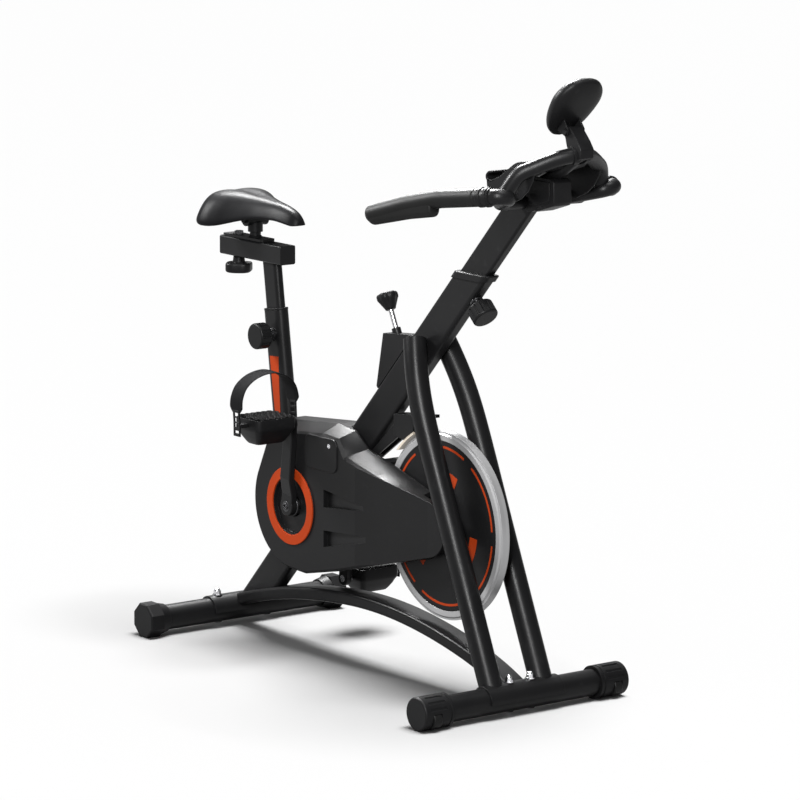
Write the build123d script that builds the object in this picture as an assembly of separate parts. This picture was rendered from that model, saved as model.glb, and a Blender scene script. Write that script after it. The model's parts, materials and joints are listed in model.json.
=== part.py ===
from build123d import *
import os
import math

os.makedirs("parts", exist_ok=True)

# ---------------------------------------------------------------------------
# Indoor spin bike. Millimetres, +X is forward (the rider faces +X), +Y is the
# rider's left, +Z is up, the floor is Z = 0.
# All stations below are measured from the front stabiliser axis; XO moves the
# finished pieces so that the origin is the centre of the footprint.
# ---------------------------------------------------------------------------
XO = 386.55             # shift from the front stabiliser axis to the origin

# stabilisers
STAB_HALF = 240.0       # half the length of both stabilisers over their caps
STAB_R = 25.4           # 50.8 mm round tube
STAB_WALL = 1.8
FRONT_X, FRONT_Z = 0.0, 31.8
REAR_X, REAR_Z = -911.0, 34.0
FCAP_R, FCAP_LEN = 31.8, 66.0
RCAP_AP, RCAP_LEN = 34.0, 50.0
WHEEL_R, WHEEL_W = 17.0, 18.0
WHEEL_X, WHEEL_Z = 17.5, 22.5

# main beam: rounded rectangle 70 x 30, rising forward
BEAM_A = (-170.7, 772.8)
BEAM_ANG = 46.3
BEAM_D, BEAM_W, BEAM_R, BEAM_WALL = 70.0, 30.0, 8.0, 1.6
BEAM_TOP_Z = 796.0
HPOST_D, HPOST_W, HPOST_R = 60.0, 20.0, 5.0

# seat tube: flat oval 60 x 30, leaning back
SEAT_A = (-786.0, 657.0)
SEAT_ANG = 8.14
ST_D, ST_W, ST_WALL = 60.0, 30.0, 1.6
SP_D, SP_W, SP_WALL = 50.0, 20.0, 1.5

# arch tube under the bike: 50 x 25 rounded rectangle
ARCH_W, ARCH_T, ARCH_R = 50.0, 25.0, 6.0
ARCH = [(-889, 54), (-820, 74), (-750, 91), (-600, 115), (-440, 125),
        (-290, 114.5), (-190, 97.5), (-110, 78), (-8, 40)]

# fork legs
LEG_R, LEG_WALL, LEG_Y = 22.25, 1.6, 58.5

# drive
CR_X, CR_Z = -643.0, 293.0          # crank axis
CRANK_LEN = 170.0
CRANK_LEAN = 7.0                    # degrees forward of vertical
FW_X, FW_Z = -217.0, 319.0          # flywheel axis
FW_R, FW_Y0, FW_Y1 = 180.0, -16.0, 6.0
BELT_Y0, BELT_Y1 = -36.0, -26.0
PULLEY_R, COG_R = 105.0, 35.0
COVER_R, NOSE_R = 128.0, 50.0
PEDAL_Y = 140.0
PEDAL_L, PEDAL_W = 86.0, 92.0

# saddle rail
RAIL_X0, RAIL_X1, RAIL_Z0, RAIL_Z1, RAIL_W = -958.0, -746.0, 752.0, 790.0, 36.0
SPOST_X = -858.0                    # saddle stub post

# handlebar
BAR_R = 14.3
LOOP_R = 12.7

ca, sa = math.cos(math.radians(BEAM_ANG)), math.sin(math.radians(BEAM_ANG))
BD = (ca, sa)                       # up along the beam
BN = (sa, -ca)                      # out of the beam's front face
cs, ss = math.cos(math.radians(SEAT_ANG)), math.sin(math.radians(SEAT_ANG))
SD = (-ss, cs)                      # up along the seat tube
SN = (cs, ss)                       # out of the seat tube's front side


# ---------------------------------------------------------------------------
# helpers
# ---------------------------------------------------------------------------
def cyl_y(x, z, r, y0, y1):
    p = Plane(origin=(x, y0, z), x_dir=(1, 0, 0), z_dir=(0, 1, 0))
    return extrude(p * Circle(r), y1 - y0)


def ring_y(x, z, r, ri, y0, y1):
    return cyl_y(x, z, r, y0, y1) - cyl_y(x, z, ri, y0 - 1, y1 + 1)


def rod(p0, p1, r, r1=None):
    a, b = Vector(*p0), Vector(*p1)
    d = b - a
    p = Plane(origin=a, z_dir=d)
    if r1 is None:
        return extrude(p * Circle(r), d.length)
    return p * Pos(0, 0, d.length / 2) * Cone(r, r1, d.length)


def box(x0, x1, y0, y1, z0, z1):
    return Pos((x0 + x1) / 2, (y0 + y1) / 2, (z0 + z1) / 2) * Box(x1 - x0, y1 - y0, z1 - z0)


def beam_pt(t, n=0.0, y=0.0):
    return (BEAM_A[0] + t * BD[0] + n * BN[0], y, BEAM_A[1] + t * BD[1] + n * BN[1])


def seat_pt(t, n=0.0, y=0.0):
    return (SEAT_A[0] + t * SD[0] + n * SN[0], y, SEAT_A[1] + t * SD[1] + n * SN[1])


def beam_plane(t, n=0.0, y=0.0):
    return Plane(origin=beam_pt(t, n, y), x_dir=(BN[0], 0, BN[1]), z_dir=(BD[0], 0, BD[1]))


def seat_plane(t, n=0.0, y=0.0):
    return Plane(origin=seat_pt(t, n, y), x_dir=(SN[0], 0, SN[1]), z_dir=(SD[0], 0, SD[1]))


def beam_bar(t0, t1, d, w, r):
    return extrude(beam_plane(t0) * RectangleRounded(d, w, r), t1 - t0)


def seat_bar(t0, t1, d, w):
    return extrude(seat_plane(t0) * SlotOverall(d, w), t1 - t0)


def xz_poly(pts, y0, y1):
    wire = Polyline(*[(p[0], y0, p[1]) for p in pts], close=True)
    f = make_face(wire)
    return extrude(f, amount=y1 - y0, dir=(0, 1, 0))


def safe_fillet(shape, edges, r):
    for k in (1.0, 0.75, 0.5, 0.3):
        try:
            out = fillet(edges, r * k)
            if out.volume > 0:
                return out
        except Exception:
            continue
    return shape


def round_all(shape, r):
    return safe_fillet(shape, shape.edges(), r)


def pipe(pts, r, tan0=None, tan1=None):
    if tan0 is not None:
        path = Spline(*pts, tangents=(tan0, tan1))
    else:
        path = Spline(*pts)
    prof = Plane(origin=path @ 0, z_dir=path % 0) * Circle(r)
    return sweep(prof, path=path)


def big(s_):
    return max(s_.solids(), key=lambda q: q.volume)


def bend_path(pts, radii):
    """Line/arc path through 3-D corners, each rounded to its own radius."""
    v = [Vector(*p) for p in pts]
    edges, prev = [], v[0]
    for i in range(1, len(v) - 1):
        d1, d2 = (v[i] - v[i - 1]).normalized(), (v[i + 1] - v[i]).normalized()
        c = max(-1.0, min(1.0, d1.dot(d2)))
        th = math.acos(c)
        t = radii[i - 1] * math.tan(th / 2)
        a_, b_ = v[i] - d1 * t, v[i] + d2 * t
        bis = (d2 - d1).normalized()
        m_ = v[i] + bis * (radii[i - 1] / math.cos(th / 2) - radii[i - 1])
        if (a_ - prev).length > 1e-4:
            edges.append(Line(prev, a_))
        edges.append(ThreePointArc(a_, m_, b_))
        prev = b_
    edges.append(Line(prev, v[-1]))
    return Wire(edges)


def tube(path, r, ri=None):
    s_ = sweep(Plane(origin=path @ 0, z_dir=path % 0) * Circle(r), path=path)
    if ri:
        s_ = s_ - sweep(Plane(origin=path @ 0, z_dir=path % 0) * Circle(ri), path=path)
    return s_


def mirror_y(s):
    return mirror(s, about=Plane.XZ)


def both(s):
    return [s, mirror_y(s)]


NODES = {}


def solids_of(s):
    if isinstance(s, (list, tuple)):
        out = []
        for q in s:
            out += solids_of(q)
        return out
    return list(s.solids())


def put(name, shape):
    ss_ = [q for q in solids_of(shape) if q.volume > 0.5]
    moved = [Pos(XO, 0, 0) * q for q in ss_]
    comp = moved[0] if len(moved) == 1 else Compound(children=moved)
    NODES[name] = comp
    export_step(comp, "parts/" + name + ".step")
    bb = comp.bounding_box()
    print("%-28s %2d solids  vol %10.1f  x %7.1f %7.1f  y %7.1f %7.1f  z %7.1f %7.1f" % (
        name, len(moved), sum(q.volume for q in moved), bb.min.X, bb.max.X, bb.min.Y, bb.max.Y, bb.min.Z, bb.max.Z), flush=True)


# ---------------------------------------------------------------------------
# base: stabilisers, caps, arch, saddle plates
# ---------------------------------------------------------------------------
def stab_tube(x, z, half):
    return ring_y(x, z, STAB_R, STAB_R - STAB_WALL, -half, half)


front_tube_env = cyl_y(FRONT_X, FRONT_Z, STAB_R, -STAB_HALF, STAB_HALF)
rear_tube_env = cyl_y(REAR_X, REAR_Z, STAB_R, -STAB_HALF, STAB_HALF)

# half-pipe saddle plates that sit on the stabilisers
SH_T = 4.0


def saddle_plate(x, z, hy, up):
    s = ring_y(x, z, STAB_R + 0.02 + SH_T, STAB_R + 0.02, -hy, hy)
    s = s - box(x - 60, x + 60, -hy - 5, hy + 5, z - 60, z - up)
    return s


front_plate = saddle_plate(FRONT_X, FRONT_Z, 86.0, 2.0)
rear_plate = saddle_plate(REAR_X, REAR_Z, 82.0, 2.0)

bolt_front = [(FRONT_X, -25.0), (FRONT_X, 25.0)]
bolt_rear = [(REAR_X, -60.0), (REAR_X, 60.0)]


def bolt_set(x, z, y):
    shank = rod((x, y, z - STAB_R + 2.0), (x, y, z + STAB_R + 14.5), 4.0)
    neck = Pos(x, y, z - STAB_R + 1.0) * Box(7.9, 7.9, 4.0)
    head = rod((x, y, z - STAB_R - 1.6), (x, y, z - STAB_R + 0.0), 7.5, 9.0)
    b = shank + neck + head
    top = z + STAB_R + SH_T + 0.02
    washer = rod((x, y, top + 0.0), (x, y, top + 2.2), 9.0) - rod((x, y, top - 2), (x, y, top + 5), 4.1)
    hexp = Plane(origin=(x, y, top + 2.2), z_dir=(0, 0, 1)) * RegularPolygon(7.4, 6)
    nut = extrude(hexp, 6.5)
    dome = Pos(x, y, top + 8.7) * Sphere(6.2)
    dome = dome - box(x - 20, x + 20, y - 20, y + 20, top - 20, top + 8.69)
    nut = nut + dome
    nut = nut - rod((x, y, top - 2), (x, y, z + STAB_R + 14.6), 4.1)
    return b, washer, nut


bolts, washers, nuts, holes_f, holes_r = [], [], [], [], []
for (x, y) in bolt_front:
    b, w, n = bolt_set(x, FRONT_Z, y)
    bolts.append(b); washers.append(w); nuts.append(n)
    holes_f.append(rod((x, y, -5), (x, y, 80), 4.2))
    holes_f.append(Pos(x, y, FRONT_Z - STAB_R) * Box(8.2, 8.2, 8.0))
for (x, y) in bolt_rear:
    b, w, n = bolt_set(x, REAR_Z, y)
    bolts.append(b); washers.append(w); nuts.append(n)
    holes_r.append(rod((x, y, -5), (x, y, 80), 4.2))
    holes_r.append(Pos(x, y, REAR_Z - STAB_R) * Box(8.2, 8.2, 8.0))

bolt_env = bolts


def minus(a, *others):
    for o in others:
        if isinstance(o, (list, tuple)):
            for q in o:
                a = a - q
        else:
            a = a - o
    return a


# flats under the saddle plates where the washers bear
def spot(x, z, y):
    return rod((x, y, z + STAB_R + SH_T + 0.02), (x, y, z + STAB_R + SH_T + 12), 9.6)


front_tube = minus(stab_tube(FRONT_X, FRONT_Z, STAB_HALF - 4.0), holes_f)
rear_tube = minus(stab_tube(REAR_X, REAR_Z, STAB_HALF - 4.0), holes_r)
# pads that give the washers a flat seat
pads = []
for (x, y) in bolt_front:
    pads.append((x, y, FRONT_Z))
for (x, y) in bolt_rear:
    pads.append((x, y, REAR_Z))


def add_pads(plate, lst, env):
    for (x, y, z) in lst:
        pad = rod((x, y, z + STAB_R - 6), (x, y, z + STAB_R + SH_T + 0.02), 10.5)
        plate = plate + (pad - env)
    return plate


gap_front = cyl_y(FRONT_X, FRONT_Z, STAB_R + 0.02, -300, 300)
gap_rear = cyl_y(REAR_X, REAR_Z, STAB_R + 0.02, -300, 300)
front_plate = minus(add_pads(front_plate, pads[:2], gap_front), holes_f[0], holes_f[2])
rear_plate = minus(add_pads(rear_plate, pads[2:], gap_rear), holes_r[0], holes_r[2])

# arch tube
arch_path = Spline(*[(x, 0, z) for x, z in ARCH])
arch_prof = Plane(origin=arch_path @ 0, x_dir=(0, 1, 0), z_dir=arch_path % 0)
arch_outer = sweep(arch_prof * RectangleRounded(ARCH_W, ARCH_T, ARCH_R), path=arch_path)
arch_inner = sweep(arch_prof * RectangleRounded(ARCH_W - 3.6, ARCH_T - 3.6, ARCH_R - 1.8), path=arch_path)
pl_front_env = cyl_y(FRONT_X, FRONT_Z, STAB_R + SH_T + 0.03, -300, 300)
pl_rear_env = cyl_y(REAR_X, REAR_Z, STAB_R + SH_T + 0.03, -300, 300)
front_low = box(-60, 60, -200, 200, -50, FRONT_Z - 2.0)
arch_tube = minus(arch_outer, pl_front_env, pl_rear_env)
arch_tube = minus(arch_tube, box(FRONT_X - 5, 80, -100, 100, -50, 120), front_low,
                  box(REAR_X - 80, REAR_X + 6, -100, 100, -50, 120))
arch_tube = arch_tube - arch_inner
arch_tube = max(arch_tube.solids(), key=lambda s: s.volume)

# cutter: everything below the arch's upper surface
up_pts = []
for i in range(0, 25):
    q = arch_path @ (i / 24)
    t = arch_path % (i / 24)
    up_pts.append((q.X - t.Z * ARCH_T / 2, q.Z + t.X * ARCH_T / 2 + 0.02))
k0 = (up_pts[1][1] - up_pts[0][1]) / (up_pts[1][0] - up_pts[0][0])
xe, ze = up_pts[0][0] - 60, up_pts[0][1] - 60 * k0
cut_face = make_face(
    Spline(*[(x, -70, z) for x, z in up_pts])
    + Polyline((up_pts[-1][0], -70, up_pts[-1][1]), (up_pts[-1][0], -70, -120), (xe, -70, -120), (xe, -70, ze), (up_pts[0][0], -70, up_pts[0][1])))
arch_cut = extrude(cut_face, amount=140, dir=(0, 1, 0))

# ---------------------------------------------------------------------------
# main beam, seat tube, bottom bracket shell, fork
# ---------------------------------------------------------------------------
beam_solid = beam_bar(-1150, 140, BEAM_D, BEAM_W, BEAM_R)
beam_hollow = beam_bar(-1160, 150, BEAM_D - 2 * BEAM_WALL, BEAM_W - 2 * BEAM_WALL, BEAM_R - BEAM_WALL)
top_cut = box(-400, 300, -100, 100, BEAM_TOP_Z, BEAM_TOP_Z + 300)
beam_trim = minus(beam_solid, top_cut, arch_cut, pl_rear_env)
beam_trim = beam_trim - box(-1200, -600, -100, 100, -200, 30)
beam_trim = max(beam_trim.solids(), key=lambda s: s.center().Z)

BB_R, BB_RI, BB_HY = 22.0, 18.5, 22.0
bb_shell = ring_y(CR_X, CR_Z, BB_R, BB_RI, -BB_HY, BB_HY)

# pull-pin positions
HP_T = 10.2                       # along the beam
HPIN_R = 4.5
hp_pin_axis0 = beam_pt(HP_T, 20)
SPIN = seat_pt(-47.5)             # on the seat tube's right face

# brake rod line through the beam
RODX0, RODZ0 = -385.0, 667.0
rd = Vector(0.438, 0, -0.899).normalized()


def rod_pt(s):
    return (RODX0 + rd.X * s, 0.0, RODZ0 + rd.Z * s)


beam = beam_trim - beam_hollow
beam = beam - cyl_y(CR_X, CR_Z, BB_R + 0.02, -60, 60)
beam = beam - rod(beam_pt(HP_T, 10), beam_pt(HP_T, 60), 9.02)
beam = beam - rod(rod_pt(-20), rod_pt(150), 9.0)
beam = max(beam.solids(), key=lambda s: s.volume)

below_beam = extrude(beam_plane(-1200, 1000 - BEAM_D / 2 - 0.02) * Rectangle(2000, 400), 2000)
seat_solid = seat_bar(-460, 0, ST_D, ST_W)
seat_tube = seat_solid - seat_bar(-470, 10, ST_D - 2 * ST_WALL, ST_W - 2 * ST_WALL)
seat_tube = seat_tube - below_beam
seat_tube = seat_tube - rod((SPIN[0], -60, SPIN[2]), (SPIN[0], -5, SPIN[2]), 9.02)
seat_tube = max(seat_tube.solids(), key=lambda s: s.volume)

# fork legs: straight from the front saddle plate, curving in to the beam's sides
leg_pts = []


def leg_x(z):
    return -10.0 - (z - 51.0) * 0.444


lz = [44, 200, 360, 480]
leg_pts = [(leg_x(z), LEG_Y, z) for z in lz]
leg_pts += [(leg_x(545), 56.5, 545), (leg_x(600), 49.5, 600), (leg_x(640), 40.5, 640), (leg_x(668), 33.0, 668)]
leg_path = Spline(*leg_pts)
leg_prof = Plane(origin=leg_path @ 0, z_dir=leg_path % 0)
leg_outer = sweep(leg_prof * Circle(LEG_R), path=leg_path)
leg_inner = sweep(leg_prof * Circle(LEG_R - LEG_WALL), path=leg_path)
beam_side_env = beam_bar(-700, 200, BEAM_D + 0.02, BEAM_W + 0.04, BEAM_R)
leg_l = minus(leg_outer, pl_front_env, box(-60, 60, 20, 120, -50, FRONT_Z - 2.0))
leg_l = leg_l - beam_side_env
leg_l = leg_l - box(-400, -100, -100, BEAM_W / 2 + 0.02, 500, 760)
leg_l = leg_l - leg_inner
leg_l = max(leg_l.solids(), key=lambda s: s.volume)
leg_r = mirror_y(leg_l)

# flywheel axle plates from the legs back to the axle
leg_env_l = leg_outer
leg_ax = leg_x(FW_Z)


def axle_plate(y0, y1):
    pts = [(FW_X - 18, FW_Z - 8), (FW_X - 18, FW_Z + 8), (FW_X - 6, FW_Z + 18),
           (leg_x(360) + 6, 360), (leg_x(290) + 6, 290), (FW_X - 6, FW_Z - 18)]
    p = xz_poly(pts, y0, y1)
    return p


plate_l = axle_plate(42.0, 47.0) - leg_outer
plate_l = max(plate_l.solids(), key=lambda s: s.volume)
plate_l = plate_l - cyl_y(FW_X, FW_Z, 6.02, 0, 100)
leg_env_r = mirror_y(leg_outer)
plate_r = axle_plate(-42.0, -38.0) - leg_env_r
plate_r = max(plate_r.solids(), key=lambda s: s.volume)
plate_r = plate_r - cyl_y(FW_X, FW_Z, 6.02, -100, 0)

# gusset plates from the arch to nothing else; the saddle plates carry the legs
put("stabilizer_saddle_plates", [front_plate, rear_plate])
put("arch_tube", arch_tube)
put("main_beam", beam)
put("seat_tube", seat_tube)
put("bottom_bracket_shell", bb_shell)
put("fork_legs", [leg_l, leg_r, plate_l, plate_r])

# ---------------------------------------------------------------------------
# end caps and transport wheels
# ---------------------------------------------------------------------------
def front_cap():
    y0, y1 = -STAB_HALF, -STAB_HALF + FCAP_LEN
    body = cyl_y(FRONT_X, FRONT_Z, FCAP_R, y0, y1)
    body = safe_fillet(body, [e for e in body.edges() if e.center().Y < y0 + 1], 4.0)
    # grip ribs: grooves cut along the skirt
    for k in range(14):
        a = math.radians(20 + k * 360 / 14)
        if -1.05 < math.atan2(math.sin(a), math.cos(a)) < 0.25:
            continue
        gx, gz = FRONT_X + (FCAP_R + 1.2) * math.cos(a), FRONT_Z + (FCAP_R + 1.2) * math.sin(a)
        body = body - rod((gx, y0 + 12, gz), (gx, y1 - 16, gz), 3.2)
    body = body - cyl_y(FRONT_X, FRONT_Z, STAB_R + 0.02, y0 + 4.0, y1 + 5)
    body = body - cyl_y(FRONT_X, FRONT_Z, FCAP_R + 5, y1 - 9, y1 - 6) + cyl_y(FRONT_X, FRONT_Z, FCAP_R - 1.2, y1 - 9, y1 - 6) - cyl_y(FRONT_X, FRONT_Z, STAB_R + 0.02, y0 + 4.0, y1 + 5)
    # tongue inside the tube
    plug = ring_y(FRONT_X, FRONT_Z, STAB_R - STAB_WALL - 0.02, STAB_R - STAB_WALL - 3.0, y0 + 3.9, y0 + 34)
    return body + plug


fcap_r = front_cap()
WY = -STAB_HALF + 27.0
# pocket for the wheel, cut through the cap and the stabiliser tube below it
pocket = cyl_y(WHEEL_X, WHEEL_Z, WHEEL_R + 1.6, WY - WHEEL_W / 2 - 1.2, WY + WHEEL_W / 2 + 1.2)
pin_hole = cyl_y(WHEEL_X, WHEEL_Z, 3.02, WY - WHEEL_W / 2 - 6, WY + WHEEL_W / 2 + 6)
fcap_r = fcap_r - pocket - pin_hole
# floor relief so the cap rests on its round skirt
fcap_r = max(fcap_r.solids(), key=lambda s: s.volume)
wheel_r = cyl_y(WHEEL_X, WHEEL_Z, WHEEL_R, WY - WHEEL_W / 2, WY + WHEEL_W / 2)
wheel_r = safe_fillet(wheel_r, [e for e in wheel_r.edges() if e.geom_type == GeomType.CIRCLE], 2.5)
wheel_r = wheel_r - cyl_y(WHEEL_X, WHEEL_Z, 3.06, -300, 0)
pin_r = cyl_y(WHEEL_X, WHEEL_Z, 3.0, WY - WHEEL_W / 2 - 6, WY + WHEEL_W / 2 + 6)
tube_pocket = [pocket, mirror_y(pocket), pin_hole, mirror_y(pin_hole)]
put("front_wheel_caps", both(fcap_r))
put("transport_wheel_right", wheel_r)
put("transport_wheel_left", mirror_y(wheel_r))
front_tube = minus(front_tube, tube_pocket)
front_tube = max(front_tube.solids(), key=lambda s: s.volume)
put("stabilizer_tubes", [front_tube, rear_tube])


def rear_cap():
    y0, y1 = -STAB_HALF, -STAB_HALF + RCAP_LEN
    oct_r = RCAP_AP / math.cos(math.radians(22.5))
    p = Plane(origin=(REAR_X, y0, REAR_Z), x_dir=(1, 0, 0), z_dir=(0, 1, 0))
    octo = extrude(p * RegularPolygon(oct_r, 8, rotation=22.5), 30.0)
    octo = safe_fillet(octo, [e for e in octo.edges() if e.center().Y < y0 + 0.5], 4.0)
    skirt = rod((REAR_X, y0 + 29.9, REAR_Z), (REAR_X, y1, REAR_Z), RCAP_AP - 1.0, STAB_R + 3.0)
    body = octo + skirt
    body = body - cyl_y(REAR_X, REAR_Z, STAB_R + 0.02, y0 + 4.0, y1 + 5)
    plug = ring_y(REAR_X, REAR_Z, STAB_R - STAB_WALL - 0.02, STAB_R - STAB_WALL - 3.0, y0 + 3.9, y0 + 34)
    return body + plug


put("rear_end_caps", both(rear_cap()))

# ---------------------------------------------------------------------------
# sleeves, posts and their pull pins
# ---------------------------------------------------------------------------
def hsect(d, w, r, t0, t1):
    return beam_bar(t0, t1, d, w, r)


# plastic sleeve in the top of the beam, with a horizontal collar
slv_top = BEAM_TOP_Z + 13.0
sl_in = beam_bar(-60, 200, BEAM_D - 2 * BEAM_WALL - 0.04, BEAM_W - 2 * BEAM_WALL - 0.04, BEAM_R - BEAM_WALL - 0.02)
sl_in = sl_in - top_cut
sl_col = beam_bar(-60, 250, BEAM_D + 6, BEAM_W + 7, BEAM_R + 3)
sl_col = sl_col - box(-600, 300, -100, 100, 500, BEAM_TOP_Z + 0.02) - box(-600, 300, -100, 100, slv_top, 1200)
sl_col = safe_fillet(sl_col, [e for e in sl_col.edges() if e.center().Z > slv_top - 0.5], 2.0)
sleeve = sl_in + sl_col
sl_bore = beam_bar(-80, 260, HPOST_D + 0.7, HPOST_W + 0.7, HPOST_R + 0.35)
sleeve = sleeve - sl_bore
# link the collar to the sleeve body through the beam mouth
link = beam_bar(-20, 250, BEAM_D - 2 * BEAM_WALL - 0.04, BEAM_W - 2 * BEAM_WALL - 0.04, BEAM_R - BEAM_WALL - 0.02)
link = link - box(-600, 300, -100, 100, 500, BEAM_TOP_Z - 6) - box(-600, 300, -100, 100, BEAM_TOP_Z + 6, 1200) - sl_bore
sleeve = sleeve + link
sleeve = sleeve - rod(beam_pt(HP_T, 10), beam_pt(HP_T, 60), 9.02)
sleeve = max(sleeve.solids(), key=lambda s: s.volume)
put("handlebar_post_sleeve", sleeve)

ssl_in = seat_bar(-95, 0, ST_D - 2 * ST_WALL - 0.04, ST_W - 2 * ST_WALL - 0.04)
ssl_col = seat_bar(0.02, 5.0, ST_D + 1.0, ST_W + 1.0)
ssl_col = safe_fillet(ssl_col, ssl_col.edges(), 1.5)
ssl = ssl_in + seat_bar(-2, 3.0, ST_D - 2 * ST_WALL - 0.04, ST_W - 2 * ST_WALL - 0.04) + ssl_col
ssl = ssl - seat_bar(-120, 20, SP_D + 0.7, SP_W + 0.7)
ssl = ssl - rod((SPIN[0], -60, SPIN[2]), (SPIN[0], -5, SPIN[2]), 9.02)
ssl = max(ssl.solids(), key=lambda s: s.volume)
put("seat_post_sleeve", ssl)


# pull-pin assembly builder: origin on the tube face, axis pointing out of it
def pull_pin(pl, post_gap, neck_len, knob_len, knob_r, ribs, shift_in):
    """pl: plane on the outer tube face, z out. post_gap: depth from that face
    down to the post's surface."""
    housing = Pos(0, 0, (neck_len - shift_in) / 2 - 0.0) * Cylinder(9.0, neck_len + shift_in)
    hexn = Pos(0, 0, 0) * extrude(RegularPolygon(12.2, 6), 4.0)
    hexn = hexn - Cylinder(8.0, 20)
    h = housing + hexn
    h = h - Pos(0, 0, 0) * Cylinder(3.55, 200) - Pos(0, 0, -shift_in + 3.2 + 50) * Cylinder(6.2, 100)
    h = h + (Pos(0, 0, neck_len - 1.5) * Cylinder(9.0, 3.0) - Cylinder(3.55, 200))
    pin = Pos(0, 0, (-post_gap + 0.35 + neck_len + knob_len - 6) / 2) * Cylinder(3.5, neck_len + knob_len - 6 + post_gap - 0.35)
    flange = Pos(0, 0, -shift_in + 3.2 + 1.3 + 0.3) * Cylinder(5.7, 2.6)
    pin = pin + flange
    return h, pin


hp_face = Plane(origin=beam_pt(HP_T, BEAM_D / 2 + 0.02), x_dir=(0, 1, 0), z_dir=(BN[0], 0, BN[1]))
sp_face = Plane(origin=(SPIN[0], -ST_W / 2 - 0.02, SPIN[2]), x_dir=(1, 0, 0), z_dir=(0, -1, 0))

NECK_H, NECK_S = 12.0, 15.0


def housing_local(neck, inset):
    h = Pos(0, 0, (neck - inset) / 2) * Cylinder(9.0, neck + inset)
    h = h + Pos(0, 0, 2.0) * Cylinder(13.0, 4.0)
    bore = Pos(0, 0, (-inset + 3.0 + neck - 3.0) / 2) * Cylinder(6.4, (neck - 3.0) - (-inset + 3.0))
    h = h - bore - Cylinder(3.55, 300)
    return h


def pin_local(neck, inset, tip, head):
    # tip: depth below the face, head: height the pin reaches above the face
    p = Pos(0, 0, (head - tip) / 2) * Cylinder(3.5, head + tip)
    p = p + Pos(0, 0, -inset + 3.0 + 1.8) * Cylinder(6.0, 2.4)
    return p


def spring_local(z0, z1, r, wr, turns):
    hlx = Helix(pitch=(z1 - z0) / turns, height=(z1 - z0), radius=r)
    prof = Plane(origin=hlx @ 0, z_dir=hlx % 0) * Circle(wr)
    return Pos(0, 0, z0) * sweep(prof, path=hlx, is_frenet=True)


def knob_local(neck, klen, r, nlobes, lobe, pin_head):
    k = Pos(0, 0, neck + 0.5 + klen / 2) * Cylinder(r, klen)
    k = safe_fillet(k, [e for e in k.edges() if e.geom_type == GeomType.CIRCLE], 4.0)
    for i in range(nlobes):
        a = 2 * math.pi * i / nlobes
        g = Pos((r + lobe * 0.45) * math.cos(a), (r + lobe * 0.45) * math.sin(a), neck + 0.5 + klen * 0.5) * Cylinder(lobe, klen - 8)
        k = k - g
    # skirt over the housing neck
    k = k - Pos(0, 0, neck + 0.5 + (pin_head - neck - 0.5) / 2) * Cylinder(3.5, pin_head - neck - 0.5)
    k = k - Pos(0, 0, neck + 0.5 + 5.0) * (Cylinder(r - 6, 10.02) - Cylinder(9.0, 30))
    return k


# handlebar-post pull pin: housing reaches 4.6 mm inside the face
hinset = (BEAM_D - HPOST_D) / 2 - 0.6
hh = housing_local(NECK_H, hinset)
hp = pin_local(NECK_H, hinset, (BEAM_D - HPOST_D) / 2 - 0.35 + 0.02, NECK_H + 22)
hk = knob_local(NECK_H, 30.0, 25.0, 12, 3.0, NECK_H + 22)
put("handlebar_pull_pin", [hp_face * hp, hp_face * hk])

sinset = (ST_W - SP_W) / 2 - 0.6
sh = housing_local(NECK_S, sinset)
spn = pin_local(NECK_S, sinset, (ST_W - SP_W) / 2 - 0.35 + 0.02, NECK_S + 20)
sk = knob_local(NECK_S, 27.0, 26.0, 12, 3.0, NECK_S + 20)
put("seat_pull_pin", [sp_face * spn, sp_face * sk])
put("pull_pin_housings", [hp_face * hh, sp_face * sh])

# seat post (inner, flat oval) and its rail
sp = seat_bar(-200, 110, SP_D, SP_W) - seat_bar(-210, 120, SP_D - 2 * SP_WALL, SP_W - 2 * SP_WALL)
sp = sp - box(-1100, -600, -100, 100, RAIL_Z0 - 0.02, RAIL_Z0 + 200)
for t in (-190, -165, -140, -115, -90, -70):
    q = seat_pt(t)
    sp = sp - rod((q[0], -30, q[2]), (q[0], 0, q[2]), 4.2)
put("seat_post", max(sp.solids(), key=lambda s: s.volume))
ZM = (RAIL_Z0 + RAIL_Z1) / 2
rail_len = RAIL_X1 - RAIL_X0
rp = Plane(origin=(RAIL_X0 + 3, 0, ZM), x_dir=(0, 1, 0), z_dir=(1, 0, 0))
rail = extrude(rp * RectangleRounded(RAIL_W, RAIL_Z1 - RAIL_Z0, 4.0), rail_len - 6)
rail = rail - extrude(Plane(origin=(RAIL_X0 - 1, 0, ZM), x_dir=(0, 1, 0), z_dir=(1, 0, 0)) * RectangleRounded(RAIL_W - 5, RAIL_Z1 - RAIL_Z0 - 5, 2.0), rail_len + 2)
SLOT_X0, SLOT_X1 = -946.0, -838.0
rail = rail - Pos((SLOT_X0 + SLOT_X1) / 2, 0, ZM) * extrude(SlotOverall(SLOT_X1 - SLOT_X0, 11.0), 60, both=True)
plug = extrude(Plane(origin=(RAIL_X0, 0, ZM), x_dir=(0, 1, 0), z_dir=(1, 0, 0)) * RectangleRounded(RAIL_W, RAIL_Z1 - RAIL_Z0, 4.0), 2.98)
plug = plug + extrude(Plane(origin=(RAIL_X0 + 2.9, 0, ZM), x_dir=(0, 1, 0), z_dir=(1, 0, 0)) * RectangleRounded(RAIL_W - 5.1, RAIL_Z1 - RAIL_Z0 - 5.1, 1.9), 6)
plug2 = extrude(Plane(origin=(RAIL_X1 - 2.98, 0, ZM), x_dir=(0, 1, 0), z_dir=(1, 0, 0)) * RectangleRounded(RAIL_W, RAIL_Z1 - RAIL_Z0, 4.0), 2.98)
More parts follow.
